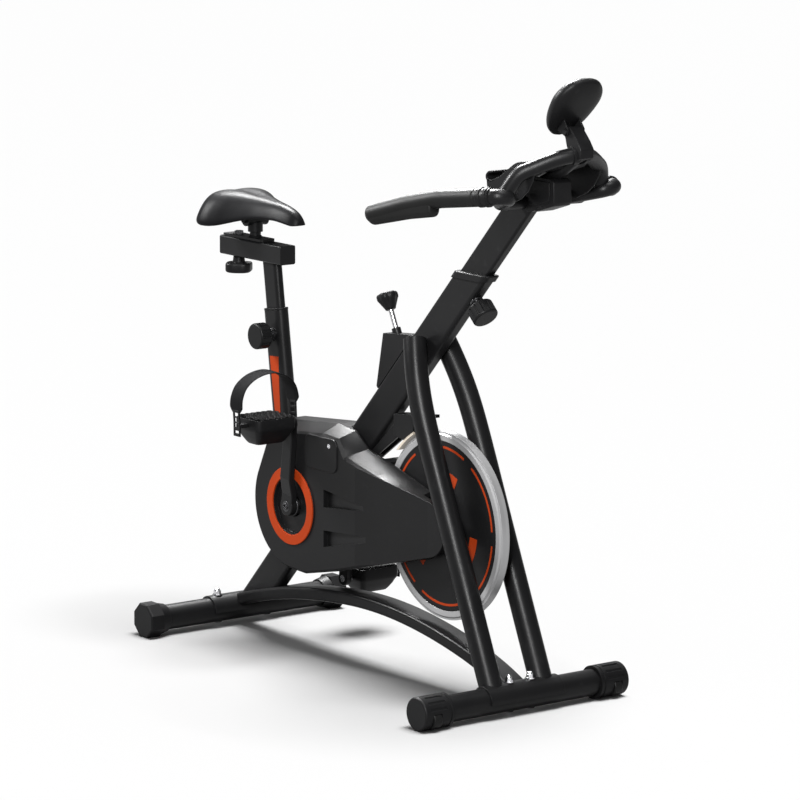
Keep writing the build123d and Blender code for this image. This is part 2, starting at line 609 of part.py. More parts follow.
plug2 = plug2 + extrude(Plane(origin=(RAIL_X1 - 9, 0, ZM), x_dir=(0, 1, 0), z_dir=(1, 0, 0)) * RectangleRounded(RAIL_W - 5.1, RAIL_Z1 - RAIL_Z0 - 5.1, 1.9), 6.1)
put("saddle_rail", [rail, plug, plug2])

# saddle carriage: folded plate on the rail with a stub post, clamp bolt through the slot
CZ = RAIL_Z1 + 0.4
CX0, CX1 = -950.0, -812.0
BOLT_X = -916.0
car = box(CX0, CX1, -17.0, 17.0, CZ, CZ + 5.0)
car = safe_fillet(car, [e for e in car.edges() if abs(e.center().Y) > 16 and abs(e.center().Z - CZ - 2.5) < 0.1], 6.0)
stub = rod((SPOST_X, 0, CZ + 5.0), (SPOST_X, 0, 826.0), 11.1) - rod((SPOST_X, 0, CZ + 5.0), (SPOST_X, 0, 830.0), 9.3)
collar = ring_y(0, 0, 1, 0.5, 0, 1)
weld = rod((SPOST_X, 0, CZ + 4.9), (SPOST_X, 0, CZ + 9.0), 15.0, 11.2) - rod((SPOST_X, 0, CZ + 5.0), (SPOST_X, 0, 830.0), 9.3)
car = car + stub + weld
car = car - rod((BOLT_X, 0, CZ - 5), (BOLT_X, 0, CZ + 10), 5.05)
put("saddle_carriage", car)
WTOP = 740.0
cb = rod((BOLT_X, 0, WTOP - 20.0), (BOLT_X, 0, CZ + 7.0), 5.0)
hexh = extrude(Plane(origin=(BOLT_X, 0, CZ + 5.0)) * RegularPolygon(9.0, 6), 6.5)
hexh = safe_fillet(hexh, [e for e in hexh.edges() if e.center().Z > CZ + 11], 1.0)
put("carriage_clamp_bolt", cb + hexh)
# lobed hand wheel under the rail
hw = rod((BOLT_X, 0, WTOP), (BOLT_X, 0, RAIL_Z0 - 0.4), 11.0, 9.5)
disc = rod((BOLT_X, 0, WTOP - 15), (BOLT_X, 0, WTOP), 30.0)
for i in range(7):
    a = 2 * math.pi * i / 7
    disc = disc - rod((BOLT_X + 33.5 * math.cos(a), 33.5 * math.sin(a), WTOP - 30), (BOLT_X + 33.5 * math.cos(a), 33.5 * math.sin(a), WTOP + 5), 8.5)
disc = safe_fillet(disc, [e for e in disc.edges() if abs(e.center().Z - WTOP) < 0.1 or abs(e.center().Z - WTOP + 15) < 0.1], 2.5)
hw = disc + hw
hw = hw - rod((BOLT_X, 0, WTOP - 22), (BOLT_X, 0, RAIL_Z0 + 5), 5.06)
hw = hw + (rod((BOLT_X, 0, WTOP - 15), (BOLT_X, 0, WTOP - 22), 8.0, 6.5) - rod((BOLT_X, 0, WTOP - 20.3), (BOLT_X, 0, RAIL_Z0), 5.06))
put("carriage_handwheel", hw)

# saddle clamp, base and pad
SCZ = 829.0
clamp = cyl_y(SPOST_X, SCZ + 3.0, 13.0, -16, 16)
clamp = clamp + rod((SPOST_X, 0, 806.5), (SPOST_X, 0, 826), 15.0)
clamp = clamp - rod((SPOST_X, 0, 780), (SPOST_X, 0, 826.3), 11.15)
serr = []
for s in (-1, 1):
    w = ring_y(SPOST_X, SCZ + 3.0, 13.0, 4.1, 16.3, 20.3)
    serr.append(w if s > 0 else mirror_y(w))
cheeks = []
for s in (-1, 1):
    c = box(SPOST_X - 15, SPOST_X + 15, 20.32, 24.3, SCZ + 3, 850) + cyl_y(SPOST_X, SCZ + 3.0, 13.5, 20.32, 24.3)
    c = c - cyl_y(SPOST_X, SCZ + 3.0, 4.1, 0, 40)
    cheeks.append(c if s > 0 else mirror_y(c))
cbolt = cyl_y(SPOST_X, SCZ + 3.0, 4.0, -30, 30)
cn = []
for s in (-1, 1):
    pz = Plane(origin=(SPOST_X, 24.35, SCZ + 3.0), x_dir=(1, 0, 0), z_dir=(0, 1, 0))
    hn = extrude(pz * RegularPolygon(7.5, 6), 6.0) - cyl_y(SPOST_X, SCZ + 3.0, 4.02, 0, 40)
    cn.append(hn if s > 0 else mirror_y(hn))
bore = cyl_y(SPOST_X, SCZ + 3.0, 4.06, -40, 40)
clamp = clamp - bore
put("saddle_clamp", [clamp, serr, cbolt, cn])
put("saddle_clamp_cheeks", cheeks)

# saddle sections: x, half width, top centre z, top edge z, bottom z
SAD = [(-692.5, 7, 845, 843, 836), (-702, 17, 853, 849, 835.5), (-725, 22, 859, 853, 834), (-760, 27, 864, 855, 832), (-800, 38, 869, 857, 829),
       (-840, 58, 875, 858, 825), (-880, 81, 881, 858, 821), (-915, 94, 886, 858, 818.5), (-940, 90, 887, 859, 821), (-955, 70, 881, 859, 830), (-962, 40, 871, 858, 840)]


def saddle_section(x, hw_, zt, ze, zb, inset=0.0, low=None):
    # half outline from the bottom centre round to the top centre
    h = hw_ - inset
    zt -= inset
    zb2 = zb + inset
    zc = zb2 + (zt - zb2) * 0.42 if low is None else low
    pts = [(x, 0, zc), (x, h * 0.55, zc - (zc - zb2) * 0.55), (x, h * 0.93, zb2), (x, h, zb2 + (ze - zb2) * 0.35),
           (x, h * 0.93, zb2 + (ze - zb2) * 0.95), (x, h * 0.6, ze + (zt - ze) * 0.72), (x, h * 0.25, zt), (x, 0, zt - 1.0)]
    return pts


def loft_saddle(inset=0.0):
    secs = []
    for (x, hw_, zt, ze, zb) in SAD:
        p = saddle_section(x, hw_, zt, ze, zb, inset)
        right = [(q[0], -q[1], q[2]) for q in reversed(p[1:-1])]
        loop = p + right
        secs.append(make_face(Spline(*loop, periodic=True)))
    return loft(secs)


pad = loft_saddle()


def low_region(dz):
    across = Plane(origin=(-1000, 0, 0), x_dir=(0, 1, 0), z_dir=(1, 0, 0))
    prof = Polyline((-150, 838 + dz), (-62, 841 + dz), (-30, 851 + dz), (30, 851 + dz), (62, 841 + dz), (150, 838 + dz),
                    (150, 700), (-150, 700), close=True)
    a = extrude(across * make_face(prof), 400)
    b = xz_poly([(-1000, 700), (-650, 700), (-650, 843.0 + dz), (-700, 844.0 + dz), (-760, 848.5 + dz), (-790, 852 + dz), (-1000, 852 + dz)], -150, 150)
    return a & b


cheek_env = box(SPOST_X - 15.05, SPOST_X + 15.05, 20.27, 24.35, 820, 850.05)
cheek_env = [cheek_env, mirror_y(cheek_env)]
base_shell = minus(pad & low_region(0.0), cheek_env, cyl_y(SPOST_X, SCZ + 3.0, 14.3, -31.5, 31.5))
base_shell = max(base_shell.solids(), key=lambda q: q.volume)
pad_only = pad - low_region(0.02)
put("saddle_pad", max(pad_only.solids(), key=lambda q: q.volume))
put("saddle_base_shell", base_shell)

# ---------------------------------------------------------------------------

# ---------------------------------------------------------------------------
# bottom bracket and crankset
# ---------------------------------------------------------------------------
AX_R = 8.5
cup = ring_y(CR_X, CR_Z, BB_RI - 0.02, 14.0, 8.0, BB_HY) + ring_y(CR_X, CR_Z, BB_R, 14.0, BB_HY + 0.02, BB_HY + 3.0)
cup = cup + ring_y(CR_X, CR_Z, BB_RI - 0.02, 14.0, BB_HY - 1, BB_HY + 1)
brg = ring_y(CR_X, CR_Z, 13.98, AX_R + 0.04, 12.0, 22.0)
put("bottom_bracket_bearings", both(cup) + both(brg))
axle = cyl_y(CR_X, CR_Z, AX_R, -74.0, 74.0)


def arm_right():
    # side section: distance along the arm, Y
    pts = [(-24, -78), (24, -78), (58, -86.5), (190, -86.5), (190, -73.5), (62, -73.5), (30, -65), (-24, -65)]
    wire = Polyline(*[(CR_X - 40, y, CR_Z + u) for u, y in pts], close=True)
    side = extrude(make_face(wire), amount=80, dir=(1, 0, 0))
    p = Plane(origin=(CR_X, -60, CR_Z), x_dir=(1, 0, 0), z_dir=(0, -1, 0))
    # outline: hub circle, tapering web, pedal eye
    hull = make_face(Polyline((-17.5, 0), (17.5, 0), (13.5, CRANK_LEN), (-13.5, CRANK_LEN), close=True))
    out = extrude(p * (hull + Circle(19.5) + Pos(0, CRANK_LEN) * Circle(14.5)), 40)
    a = side & out
    a = max(a.solids(), key=lambda q: q.volume)
    a = safe_fillet(a, a.edges().filter_by(lambda e: e.length > 12), 2.2)
    return a


arm = arm_right()
arm = arm - cyl_y(CR_X, CR_Z, AX_R + 0.0, -100, -40) - cyl_y(CR_X, CR_Z + CRANK_LEN, 7.0, -120, -60)
arm = arm - cyl_y(CR_X, CR_Z, 11.0, -82, -75.0)


def lean(s_, deg):
    return Pos(CR_X, 0, CR_Z) * Rot(0, deg, 0) * Pos(-CR_X, 0, -CR_Z) * s_


def rotz180(s_):
    return Pos(CR_X, 0, CR_Z) * Rot(0, 180, 0) * Pos(-CR_X, 0, -CR_Z) * s_


arm_r = lean(arm, CRANK_LEAN)
arm_l = rotz180(mirror_y(arm_r))
put("crank_arms", [arm_r, arm_l])
lr = math.radians(CRANK_LEAN)
PR = (CR_X + CRANK_LEN * math.sin(lr), CR_Z + CRANK_LEN * math.cos(lr))
PL = (CR_X - CRANK_LEN * math.sin(lr), CR_Z - CRANK_LEN * math.cos(lr))
cbolt_r = cyl_y(CR_X, CR_Z, 10.8, -78.2, -75.0) + cyl_y(CR_X, CR_Z, 6.5, -81.5, -78.2)
cbolt_r = cbolt_r - extrude(Plane(origin=(CR_X, -83, CR_Z), x_dir=(1, 0, 0), z_dir=(0, 1, 0)) * RegularPolygon(4.6, 6), 6)
cbolt_r = safe_fillet(cbolt_r, [e for e in cbolt_r.edges() if e.center().Y < -81.4 and e.geom_type == GeomType.CIRCLE], 0.8)
hubring = ring_y(CR_X, CR_Z, 20.5, AX_R + 0.01, -64.98, -59.5)
hubring = safe_fillet(hubring, [e for e in hubring.edges() if e.geom_type == GeomType.CIRCLE and e.length > 100], 1.5)
put("crank_bolts_and_collars", both(cbolt_r) + both(hubring))

# drive pulley, cog, belt
dp = cyl_y(CR_X, CR_Z, PULLEY_R, BELT_Y0, BELT_Y1) - ring_y(CR_X, CR_Z, PULLEY_R - 8, 30, BELT_Y0 - 1, BELT_Y0 + 3) - ring_y(CR_X, CR_Z, PULLEY_R - 8, 30, BELT_Y1 - 3, BELT_Y1 + 1)
for i in range(5):
    a_ = 2 * math.pi * i / 5
    dp = dp - cyl_y(CR_X + 64 * math.cos(a_), CR_Z + 64 * math.sin(a_), 22, -60, 0)
dp = dp + cyl_y(CR_X, CR_Z, 22, -44, -26)
dp = dp - cyl_y(CR_X, CR_Z, AX_R + 0.01, -60, 0)
put("crank_pulley", dp)

cd = math.hypot(FW_X - CR_X, FW_Z - CR_Z)
ct = math.atan2(FW_Z - CR_Z, FW_X - CR_X)


def belt_loop(r0, r1, y0, y1):
    al = math.acos((r0 - r1) / cd)
    tops = []
    for sgn in (1, -1):
        a_ = ct + sgn * al
        tops.append(((CR_X + r0 * math.cos(a_), CR_Z + r0 * math.sin(a_)), (FW_X + r1 * math.cos(a_), FW_Z + r1 * math.sin(a_))))
    (p0, q0), (p1, q1) = tops
    core = xz_poly([p0, q0, q1, p1], y0, y1)
    return core + cyl_y(CR_X, CR_Z, r0, y0, y1) + cyl_y(FW_X, FW_Z, r1, y0, y1)


belt = belt_loop(PULLEY_R + 3.5, COG_R + 3.5, BELT_Y0 + 1, BELT_Y1 - 1) - belt_loop(PULLEY_R + 0.5, COG_R + 0.5, BELT_Y0 - 5, BELT_Y1 + 5)
put("drive_belt", belt)

# pedals -------------------------------------------------------------------
def spindle():
    s_ = cyl_y(PR[0], PR[1], 6.98, -86.5, -73.5) + cyl_y(PR[0], PR[1], 9.0, -90.0, -86.52) + cyl_y(PR[0], PR[1], 6.0, -183.0, -86.0)
    return s_


sp_r = spindle()
put("crank_axle_and_spindles", [axle, sp_r, rotz180(mirror_y(sp_r))])


def pedal_parts(cx, cz):
    yc = -PEDAL_Y
    hx, hy = PEDAL_L / 2, PEDAL_W / 2
    pl = Plane(origin=(cx, yc, cz - 9.0), x_dir=(1, 0, 0), z_dir=(0, 0, 1))
    body = extrude(pl * RectangleRounded(PEDAL_L, PEDAL_W, 13.0), 20.0)
    # honeycomb pockets in the tread
    for i in range(-4, 5):
        for j in range(-4, 5):
            hx_, hy_ = i * 11.0, j * 12.7 + (6.35 if i % 2 else 0.0)
            if abs(hx_) < hx - 10 and abs(hy_) < hy - 9:
                body = body - extrude(Plane(origin=(cx + hx_, yc + hy_, cz + 7.0)) * RegularPolygon(5.2, 6), 10)
    # waist window openings between tread and keel
    body = safe_fillet(body, [e for e in body.edges() if abs(e.center().Z - cz - 11.0) < 0.05 and e.length > 25], 1.5)
    low = loft([Plane(origin=(cx, yc, cz - 8.9)) * RectangleRounded(PEDAL_L - 14, PEDAL_W - 10, 10.0),
                Plane(origin=(cx, yc, cz - 34.0)) * RectangleRounded(PEDAL_L - 46, PEDAL_W - 30, 8.0)])
    for k in (-1, 1):
        low = low - Pos(cx + k * (hx - 11), yc, cz - 22) * Box(14, PEDAL_W - 44, 12)
    body = body + low
    body = body - cyl_y(cx, cz, 6.05, -184.0, -60.0)
    # the strap
    yo = lambda v: yc + v
    sp_ = [(47.7, 7.8), (47.8, 24), (46.8, 48), (41, 78), (22, 101), (-4, 108.5), (-34, 101), (-58, 76), (-67, 42), (-59, 12), (-48.2, -12)]
    outer = Spline(*[(cx - 15, yo(a), cz + b) for a, b in sp_])
    pr = Plane(origin=outer @ 0, x_dir=(1, 0, 0), z_dir=outer % 0)
    strap = sweep(pr * Pos(15, 0, 0) * RectangleRounded(30.0, 3.0, 1.2), path=outer)
    strap = strap - body
    strap = max(strap.solids(), key=lambda q: q.volume)
    return body, strap


pb, strap_r = pedal_parts(PR[0], PR[1])
put("pedal_body_right", pb)
put("pedal_strap_right", strap_r)
pbl, strap_l = pedal_parts(PL[0], PL[1])
put("pedal_body_left", mirror_y(pbl))
put("pedal_strap_left", mirror_y(strap_l))

# ---------------------------------------------------------------------------
# flywheel
# ---------------------------------------------------------------------------
YM = (FW_Y0 + FW_Y1) / 2


def revolve_y(pts, x, z):
    # pts: (radius, y)
    wire = Polyline(*[(x + r, y, z) for r, y in pts], close=True)
    return revolve(make_face(wire), axis=Axis((x, 0, z), (0, 1, 0)), revolution_arc=360)


rim_pts = [(24, FW_Y0 + 5.0), (163, FW_Y0 + 5.0), (163, FW_Y0), (173.5, FW_Y0), (176.5, FW_Y0 + 2.2), (FW_R, FW_Y0 + 2.6), (FW_R, FW_Y1 - 2.6),
           (176.5, FW_Y1 - 2.2), (173.5, FW_Y1), (163, FW_Y1), (163, FW_Y1 - 5.0), (24, FW_Y1 - 5.0)]
fw = revolve_y(rim_pts, FW_X, FW_Z)
put("flywheel_rim", fw)
fdisc = ring_y(FW_X, FW_Z, 162.4, 24.5, FW_Y0 + 0.6, FW_Y0 + 4.98)
fdisc2 = ring_y(FW_X, FW_Z, 162.4, 24.5, FW_Y1 - 4.98, FW_Y1 - 0.6)
put("flywheel_side_discs", [fdisc, fdisc2])
hub = cyl_y(FW_X, FW_Z, 23.98, FW_Y0 - 1.0, FW_Y1 + 8.0) + cyl_y(FW_X, FW_Z, 18.0, -26.02, FW_Y0)
hub = hub - cyl_y(FW_X, FW_Z, 14.0, -60, 60)
hub = hub + ring_y(FW_X, FW_Z, 14.5, 9.0, -14.0, 2.0)
fb = ring_y(FW_X, FW_Z, 13.98, 6.05, -24.0, -15.0)
fb2 = ring_y(FW_X, FW_Z, 13.98, 6.05, 3.0, 12.0)
cog = cyl_y(FW_X, FW_Z, COG_R, BELT_Y0, BELT_Y1 - 0.06) - cyl_y(FW_X, FW_Z, 9.0, -60, 0)
put("flywheel_hub", [hub, cog, fb, fb2])

# painted bands on both discs: plain, evenly spaced concentric arcs
gy = FW_Y0 + 0.6


def arc_band(r, w, a0, a1, th=0.35):
    ring = ring_y(FW_X, FW_Z, r + w / 2, r - w / 2, gy - th, gy - 0.01)
    big = 260.0
    n = 10
    pts = [(FW_X, FW_Z)]
    for i in range(n + 1):
        a_ = math.radians(a0 + (a1 - a0) * i / n)
        pts.append((FW_X + big * math.cos(a_), FW_Z + big * math.sin(a_)))
    return ring & xz_poly(pts, gy - 2, gy + 2)


gfx = []
for k in range(6):
    gfx.append(arc_band(146.0, 5.0, 60 * k + 5, 60 * k + 55))
for k in range(3):
    gfx.append(arc_band(95.0, 22.0, 120 * k + 65, 120 * k + 115))
gfx_far = []
for g in gfx:
    gfx_far.append(mirror(g, about=Plane(origin=(0, YM, 0), z_dir=(0, 1, 0))))
put("flywheel_red_graphics", gfx + gfx_far)

fax = cyl_y(FW_X, FW_Z, 6.0, -47.5, 55.0)


def nut_y(x, z, r, bore_r, y0, y1):
    p = Plane(origin=(x, y0, z), x_dir=(1, 0, 0), z_dir=(0, 1, 0))
    n_ = extrude(p * RegularPolygon(r, 6), y1 - y0)
    return n_ - cyl_y(x, z, bore_r, y0 - 5, y1 + 5)


put("flywheel_axle_and_nuts", [fax, nut_y(FW_X, FW_Z, 10.0, 6.01, -47.0, -42.02), nut_y(FW_X, FW_Z, 10.0, 6.01, 47.02, 53.5)])
put("flywheel_axle_spacers", [ring_y(FW_X, FW_Z, 9.0, 6.01, 14.6, 41.98), ring_y(FW_X, FW_Z, 8.5, 6.01, -37.98, -26.5)])

# ---------------------------------------------------------------------------
# belt cover: outer shell on the rider's right, inner shell round the frame
# ---------------------------------------------------------------------------
def outline(far, inset=0.0):
    cx, cz, R = CR_X, CR_Z, COVER_R - inset
    a_up = math.atan2(0.385, -0.923)
    p_up = (cx + R * math.cos(a_up), cz + R * math.sin(a_up))
    a_dn = math.radians(268)
    p_dn = (cx + R * math.cos(a_dn), cz + R * math.sin(a_dn))
    p_mid = (cx + R * math.cos(math.radians(213)), cz + R * math.sin(math.radians(213)))
    nr = (57.0 if far else 53.0) - inset
    nx, nz = -220.0, 316.0
    an = math.radians(-75)
    n_dn = (nx + nr * math.cos(an), nz + nr * math.sin(an))
    n_up = (nx + nr * math.cos(math.radians(80)), nz + nr * math.sin(math.radians(80)))
    n_mid = (nx + nr, nz)
    if far:
        top = [(-258, 384), (-347, 409), (-444, 432), (-486, 462), (-541, 468), (-716, 452)]
    else:
        top = [(-304, 384), (-367, 395), (-466, 417), (-489, 450), (-541, 452), (-716, 436)]
    low = [(-600, 163.5), (-493, 187)]

    def moved(chain):
        # chain: end, corner, ..., corner, end with the ends already inset
        raw0 = (chain[0][0], chain[0][1])
        out = []
        for k in range(1, len(chain) - 1):
            (x0, z0), (x1, z1), (x2, z2) = chain[k - 1], chain[k], chain[k + 1]
            l1, l2 = math.hypot(x1 - x0, z1 - z0), math.hypot(x2 - x1, z2 - z1)
            n1, n2 = (-(z1 - z0) / l1, (x1 - x0) / l1), (-(z2 - z1) / l2, (x2 - x1) / l2)
            k_ = inset / (1 + n1[0] * n2[0] + n1[1] * n2[1])
            out.append((x1 + k_ * (n1[0] + n2[0]), z1 + k_ * (n1[1] + n2[1])))
        return out

    def full(a_, R_, x, z):
        return (x + (R_ + inset) * math.cos(a_), z + (R_ + inset) * math.sin(a_))
    low_m = moved([full(a_dn, R, cx, cz)] + low + [full(an, nr, nx, nz)])
    top_m = moved([full(math.radians(80), nr, nx, nz)] + top + [full(a_up, R, cx, cz)])
    V = lambda p: (p[0], 0.0, p[1])
    e = [ThreePointArc(V(p_up), V(p_mid), V(p_dn))]
    prev = p_dn
    for t in low_m:
        e.append(Line(V(prev), V(t)))
        prev = t
    e.append(Line(V(prev), V(n_dn)))
    e.append(ThreePointArc(V(n_dn), V(n_mid), V(n_up)))
    prev = n_up
    for t in top_m:
        e.append(Line(V(prev), V(t)))
        prev = t
    e.append(Line(V(prev), V(p_up)))
    return Wire(e)


def out_face(far, y, inset=0.0):
    return Pos(0, y, 0) * Face(outline(far, inset))


def ext_y(f, d):
    return extrude(f, amount=abs(d), dir=(0, 1 if d > 0 else -1, 0))


Y_SEAM, Y_BACK = -24.0, -21.0
Y_EDGE, Y_FACE = -60.0, -66.0
cov = loft([out_face(True, Y_SEAM), out_face(False, Y_EDGE)], ruled=True)
lip = loft([out_face(False, Y_EDGE), out_face(False, Y_FACE, 5.0)], ruled=True)
cov = cov + lip
# the side face tapers towards the nose
tp = make_face(Polyline((-430, -66), (-215, -53), (-120, -50), (-120, -90), (-430, -90), close=True))
taper_cut = extrude(Plane(origin=(0, 0, 100)) * tp, 400)
cov = cov - taper_cut
cov = safe_fillet(cov, [e for e in cov.edges() if e.center().Y < -50 and e.center().X > -300 and e.length > 20], 3.0)
# nose: only a thin cheek and a small drum beyond the wheel's axle
nose_cut = box(-244, -100, -41, -10, 240, 420) - cyl_y(FW_X - 2, FW_Z, 44.0, -60, 0)
cov = cov - nose_cut
cov = max(cov.solids(), key=lambda q: q.volume)

cav1 = extrude(out_face(False, Y_SEAM + 0.5, 3.0), amount=31.5, dir=(0, -1, 0))
cav2 = extrude(out_face(False, -54.0, 8.0), amount=9.0, dir=(0, -1, 0)) - cyl_y(CR_X, CR_Z, 62.0, -80, 0)
cavity = cav1 + cav2
tp2 = make_face(Polyline((-430, -63), (-215, -50), (-120, -47), (-120, -90), (-430, -90), close=True))
cavity = cavity - extrude(Plane(origin=(0, 0, 100)) * tp2, 400)
# scoops in the side face
def scoop(z0, z1, zf0, zf1, x0, x1, d, grow=0.0):
    a_ = [(x0 - grow, -66 - 20, z0 - grow), (x0 - grow, -66 - 20, z1 + grow), (x0 - grow, -66 + d + grow, z1 + grow), (x0 - grow, -66 + d + grow, z0 - grow)]
    fa = make_face(Polyline(*a_, close=True))
    b_ = [(x1, -66 - 20, zf0 - grow), (x1, -66 - 20, zf1 + grow), (x1, -66 + 1.5 + grow, zf1 + grow), (x1, -66 + 1.5 + grow, zf0 - grow)]
    fb_ = make_face(Polyline(*b_, close=True))
    return loft([fa, fb_], ruled=True)


SCOOPS = [(308, 343, 322, 330, -533, -405, 11.0), (229, 262, 262, 272, -533, -390, 10.0)]
for sc in SCOOPS:
    cov = cov - scoop(*sc)
    cavity = cavity - scoop(*sc, grow=3.0)
cov = cov - cavity
# crank well and raised ring seat
cov = cov - cyl_y(CR_X, CR_Z, 56.0, -90, -58.0)
cov = cov + (ring_y(CR_X, CR_Z, 77.5, 56.0, -67.0, -65.0))
cov = cov - cyl_y(CR_X, CR_Z, 22.5, -90, -50)
# screw pad
padp = Plane(origin=(-540, -65.5, 413), x_dir=(1, 0, 0), z_dir=(0, -1, 0))
spad = extrude(padp * RectangleRounded(106, 66, 16), 3.2)
spad = safe_fillet(spad, [e for e in spad.edges() if e.center().Y < -68.5], 1.5)
cov = cov + spad
COVER_SCREWS = [(-511, 432, -68.7), (-720, 400, -66.0), (-560, 185, -66.0), (-300, 345, -58.2), (-300, 262, -58.2)]
bosses = []
SCREW = (-511, 432)
cov = cov - cyl_y(SCREW[0], SCREW[1], 2.1, -80, -50) - cyl_y(SCREW[0], SCREW[1], 4.6, -80, -67.2)
# slot for the wheel's axle plate and its nut
slot = axle_plate(-43.0, -37.0)
slot = slot + Pos(0, 0, 0) * cyl_y(FW_X, FW_Z, 20, -43.0, -37.0)
cov = cov - slot
leg_clear = sweep(leg_prof * Circle(LEG_R + 1.5), path=leg_path)
cov = cov - mirror_y(leg_clear)
cov = max(cov.solids(), key=lambda q: q.volume)
put("belt_cover_outer", cov)
screw = cyl_y(SCREW[0], SCREW[1], 4.4, -69.6, -67.22) + cyl_y(SCREW[0], SCREW[1], 2.08, -67.3, -58)
screw = screw - box(SCREW[0] - 3, SCREW[0] + 3, -71, -68.4, SCREW[1] - 0.6, SCREW[1] + 0.6) - box(SCREW[0] - 0.6, SCREW[0] + 0.6, -71, -68.4, SCREW[1] - 3, SCREW[1] + 3)
put("bolts_nuts_and_screws", bolts + washers + nuts + both(pin_r) + [screw])
redring = ring_y(CR_X, CR_Z, 77.5, 57.5, -70.0, -67.02)
redring = safe_fillet(redring, [e for e in redring.edges() if e.center().Y < -69.5], 1.0)
put("crank_trim_ring", redring)

inn = extrude(out_face(True, Y_SEAM + 0.02), amount=Y_BACK - Y_SEAM, dir=(0, 1, 0))
inn = inn - (box(-244, -100, -41, -10, 240, 420) - cyl_y(FW_X - 2, FW_Z, 44.0, -60, 0))
rear = extrude(out_face(True, Y_BACK - 0.5), amount=41.5, dir=(0, 1, 0)) - cyl_y(FW_X, FW_Z, 187.0, -60, 60)
rear_in = extrude(out_face(True, Y_BACK, 3.0), amount=38.0, dir=(0, 1, 0)) - cyl_y(FW_X, FW_Z, 190.0, -60, 60)
inn = inn + (rear - rear_in)
frame_clear = beam_bar(-1150, 140, BEAM_D + 2.4, BEAM_W + 2.4, BEAM_R + 1) + seat_bar(-460, 0, ST_D + 2.4, ST_W + 2.4)
inn = inn - frame_clear
inn = inn - box(-500, -395, -20.9, 40, 396, 490)
inn = inn - cyl_y(CR_X, CR_Z, 27.0, -60, 60) - cyl_y(FW_X, FW_Z, 25.5, -60, 60)
inn = inn - mirror_y(leg_clear)
inn = max(inn.solids(), key=lambda q: q.volume)
put("belt_cover_inner", inn)

# ---------------------------------------------------------------------------
# friction brake
# ---------------------------------------------------------------------------
BR_P = (-446.0, 420.0)                       # pivot of the brake arm
bk_pts = [(-412, 661), (-334, 666), (-326, 660), (-432, 550)]
bk = xz_poly([(-413, 661), (-334, 668), (-322, 664), (-430, 551), (-434, 556)], -12.0, 12.0)
bk = bk - xz_poly([(-408.5, 656), (-340, 662), (-300, 662), (-428, 530), (-429, 562)], -9.0, 9.0)
bk = bk - beam_bar(-900, 200, BEAM_D + 0.04, BEAM_W + 40, 5)
boss = rod(rod_pt(-6), rod_pt(16), 8.9)
bk = bk + boss
bk = bk - rod(rod_pt(-30), rod_pt(160), 5.06)
bk = bk - beam_bar(-900, 200, BEAM_D + 0.04, BEAM_W + 40, 5)
bk = max(bk.solids(), key=lambda q: q.volume)
ROD_END = 156.3
brod = rod(rod_pt(-86), rod_pt(ROD_END), 5.0)
brod = brod + rod(rod_pt(ROD_END - 0.1), rod_pt(ROD_END + 5), 8.0)
put("brake_rod", brod)
kn_pl = Plane(origin=rod_pt(-43.5), z_dir=(-rd.X, 0, -rd.Z))
KL = 38.0
kn = Pos(0, 0, KL / 2) * Cone(13.0, 33.0, KL)
top_dome = Pos(0, 0, KL + 3.0 - 0.01) * Cylinder(33.0, 6.0)
kn = kn + top_dome
kn = safe_fillet(kn, [e for e in kn.edges() if e.center().Z > KL + 5.5], 4.0)
for i in range(6):
    a_ = 2 * math.pi * i / 6
    kn = kn - rod((41.5 * math.cos(a_), 41.5 * math.sin(a_), -4), (44.5 * math.cos(a_), 44.5 * math.sin(a_), KL + 12), 13.0)
kn = kn - Pos(0, 0, 17) * Cylinder(5.0, 60) + Pos(0, 0, KL + 1.0) * Cylinder(9.0, 8.0)
kn = kn - Pos(0, 0, 0) * Cylinder(5.06, 2 * 42.52)
kn_b = kn_pl * kn
put("brake_knob", max(kn_b.solids(), key=lambda q: q.volume))

# brake arm: two cheeks either side of a lug on the beam, carrying the pad block
bt = (BR_P[0] - BEAM_A[0]) * BD[0] + (BR_P[1] - BEAM_A[1]) * BD[1]
lugp = xz_poly([(q[0], q[2]) for q in (beam_pt(bt - 13, 35.02), beam_pt(bt + 13, 35.02), beam_pt(bt + 6.5, 51.5), beam_pt(bt - 6.5, 51.5))], -6.0, 6.0)
lugp = lugp - cyl_y(BR_P[0], BR_P[1], 4.02, -30, 30)
put("brake_mounts", [bk, lugp, cyl_y(BR_P[0], BR_P[1], 4.0, -13.5, 13.5)])
arm_y = 5.0 * -1


def arm_cheek(y0, y1):
    q = xz_poly([(BR_P[0] - 2, BR_P[1] + 7.5), (-378, 488), (-362, 505), (-360, 470), (BR_P[0] + 6, BR_P[1] - 5)], y0, y1)
    q = q + cyl_y(BR_P[0], BR_P[1], 8.0, y0, y1)
    return q - cyl_y(BR_P[0], BR_P[1], 4.06, -40, 40)


blk = xz_poly([(-368, 470), (-368, 512), (-262, 523), (-262, 517), (-306, 510), (-306, 462)], -20.0, 10.0)
blk = blk + arm_cheek(-12.0, -8.0) + arm_cheek(8.0, 12.0) + box(-372, -360, -12, 12, 476, 503)
blk = blk - cyl_y(FW_X, FW_Z, FW_R + 9.5, -60, 60)
blk = blk - beam_bar(-900, 200, BEAM_D + 6, BEAM_W + 40, 5)
blk = max(blk.solids(), key=lambda q: q.volume)
put("brake_arm", blk)
felt = ring_y(FW_X, FW_Z, FW_R + 9.48, FW_R + 4.5, -19.0, 9.0)
felt = felt & xz_poly([(-370, 440), (-366, 500), (-308, 500), (-304, 455)], -60, 60)
put("brake_pad", max(felt.solids(), key=lambda q: q.volume))

